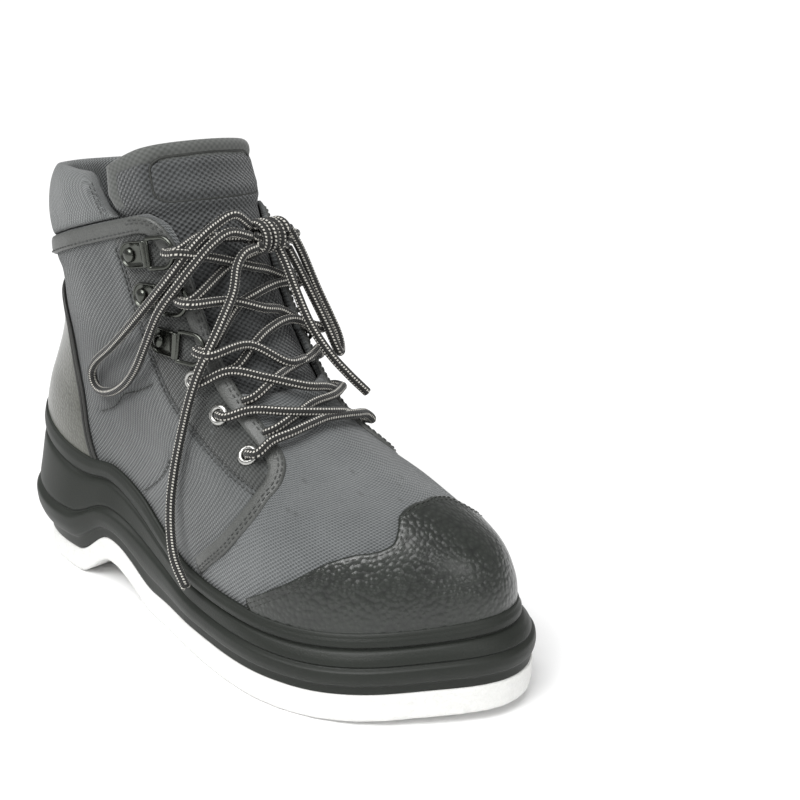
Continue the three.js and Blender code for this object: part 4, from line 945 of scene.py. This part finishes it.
way = sole_outline(sole_turn + 0.004) - sole_outline(sole_turn - 0.004)
way /= np.linalg.norm(way, axis=1, keepdims=True)
sole_out = np.column_stack([way[:, 1], -way[:, 0]])
s = np.clip((station - 0.12) / 0.3, 0, 1)
heelness = 1 - s * s * (3 - 2 * s)
lip_point, lip_out = skin(sole_turn, lip_at, 3.4), last_ways(sole_turn, lip_at)[2]
rows = []
for heel_share, toe_share, out, flare, lean in side_rows:
    low = sole_outline(sole_turn) + sole_out * (out + flare * heelness)[:, None]
    bottom = tread + felt_thick + 0.3
    height = bottom + (lip_point[:, 2] - bottom) * (toe_share + (heel_share - toe_share) * heelness)
    groove = (out + 0.8) * lean if lean > 0 else 0
    flat_xy = low + (lip_point[:, :2] - low) * lean + lip_out[:, :2] * groove
    rows.append(np.column_stack([flat_xy, height]))
rows = np.array(rows)
fine = np.linspace(0, len(rows) - 1, 6 * (len(rows) - 1) + 1)
lower = np.clip(np.floor(fine).astype(int), 0, len(rows) - 2)
dense = rows[lower] + (rows[lower + 1] - rows[lower]) * (fine - lower)[:, None, None]
padded_rows = np.concatenate([dense[:1]] * 2 + [dense] + [dense[-1:]] * 2)
wall_rows = sum(w * padded_rows[k:k + len(dense)] for k, w in enumerate((1, 2, 3, 2, 1))) / 9
wall_rows[0], wall_rows[-1] = dense[0], dense[-1]


def closed_in(ring, steps=4):
    """Rings that close a loop flat: each point moves to the middle between it and its partner across the boot."""
    partner = ring[(-np.arange(len(ring))) % len(ring)]
    return np.array([ring + (ring + partner - 2 * ring) / 2 * k / steps for k in range(1, steps + 1)])


crest = [skin(sole_turn, lip_at + e, lift) for e, lift in ((0.006, 2.9), (0.009, 2.0), (0.007, 1.1))]
tray = [skin(sole_turn, lip_at * share, 0.55) for share in np.linspace(1, 0, 8)]
floor_ring = np.column_stack([tray[-1][:, :2], skin(sole_turn, 0 * sole_turn, 0)[:, 2] - 0.3])
body = np.concatenate([closed_in(wall_rows[0])[::-1], wall_rows, crest, tray, [floor_ring], closed_in(floor_ring)])
rubber, tree, shader = surface("moulded_rubber", 0.48, Specular_IOR_Level=0.35)
cloud = add_node(tree, "TexNoise", Scale=30.0, Detail=5.0).outputs["Fac"]
grit = add_node(tree, "TexNoise", Scale=1500.0, Detail=2.0).outputs["Fac"]
share = maths(tree, "MULTIPLY_ADD", grit, 0.5, maths(tree, "MULTIPLY", cloud, 0.5))
tree.links.new(mixed(tree, share, (0.006, 0.0075, 0.0055), (0.021, 0.0245, 0.02)), shader.inputs["Base Color"])
raised(tree, shader, grit, 0.00012)
mesh_piece("midsole_rubber", [tube_parts(body)], rubber, "rubber", "midsole")

# ---- Felt outsole ----
# One thickness of white pressed felt glued under the midsole. Its cut edge is slightly uneven, and it bends up through
# the arch and at the toe.
def felt_ring(out, height, rough):
    """The outline moved out, at one height in the felt's thickness, with a little unevenness of the cut."""
    waves = np.sin(sole_turn * 151) + np.sin(sole_turn * 67 + height) + np.sin(sole_turn * 263 + 2 * height)
    wander = rough * waves / 3
    plan = sole_outline(sole_turn) + sole_out * (out + wander)[:, None]
    return np.column_stack([plan, tread + height])


edge_rows = [(-1.6, 0, 0.1), (-0.9, 0.3, 0.2), (-0.45, 1.1, 0.25)]
edge_rows += [(-0.4, h, 0.25) for h in np.linspace(2, 12, 9)] + [(-0.6, 12.7, 0.2), (-1.2, 13, 0.1)]
felt_rows = np.array([felt_ring(*row) for row in edge_rows])
felt, tree, shader = surface("pressed_felt", 0.95, Sheen_Weight=0.3)
fibre = add_node(tree, "TexNoise", Scale=700.0, Detail=6.0, Roughness=0.7).outputs["Fac"]
tuft = add_node(tree, "TexNoise", Scale=120.0, Detail=3.0, Distortion=2.0).outputs["Fac"]
share = maths(tree, "MULTIPLY_ADD", fibre, 0.7, maths(tree, "MULTIPLY", tuft, 0.4))
tree.links.new(mixed(tree, share, (0.66, 0.66, 0.64), (0.95, 0.95, 0.93)), shader.inputs["Base Color"])
raised(tree, shader, maths(tree, "ADD", fibre, tuft), 0.0005)
slab = tube_parts(np.concatenate([closed_in(felt_rows[0])[::-1], felt_rows, closed_in(felt_rows[-1])]))
mesh_piece("outsole_felt_pressed", [slab], felt, "felt", "outsole_felt")

# ---- Insole ----
# A flat lining board in the midsole's tray, covered in a short plain pile.
rim_in = skin(sole_turn, 0.03, -4.1)
base = skin(sole_turn, 0 * sole_turn, 0)[:, 2]
board_rows = np.array([np.column_stack([rim_in[:, :2], base + h]) for h in (0, 3.3)] + [
    np.column_stack([rim_in[:, :2] - sole_out * 0.6, base + 4])])
insole_pile = weave("insole_pile", (0.2, 0.18, 0.15), (0.4, 0.37, 0.32), 1.0, 0.0002)
lining = tube_parts(np.concatenate([closed_in(board_rows[0])[::-1], board_rows, closed_in(board_rows[-1])]))
mesh_piece("insole_board", [lining], insole_pile, "board", "insole")
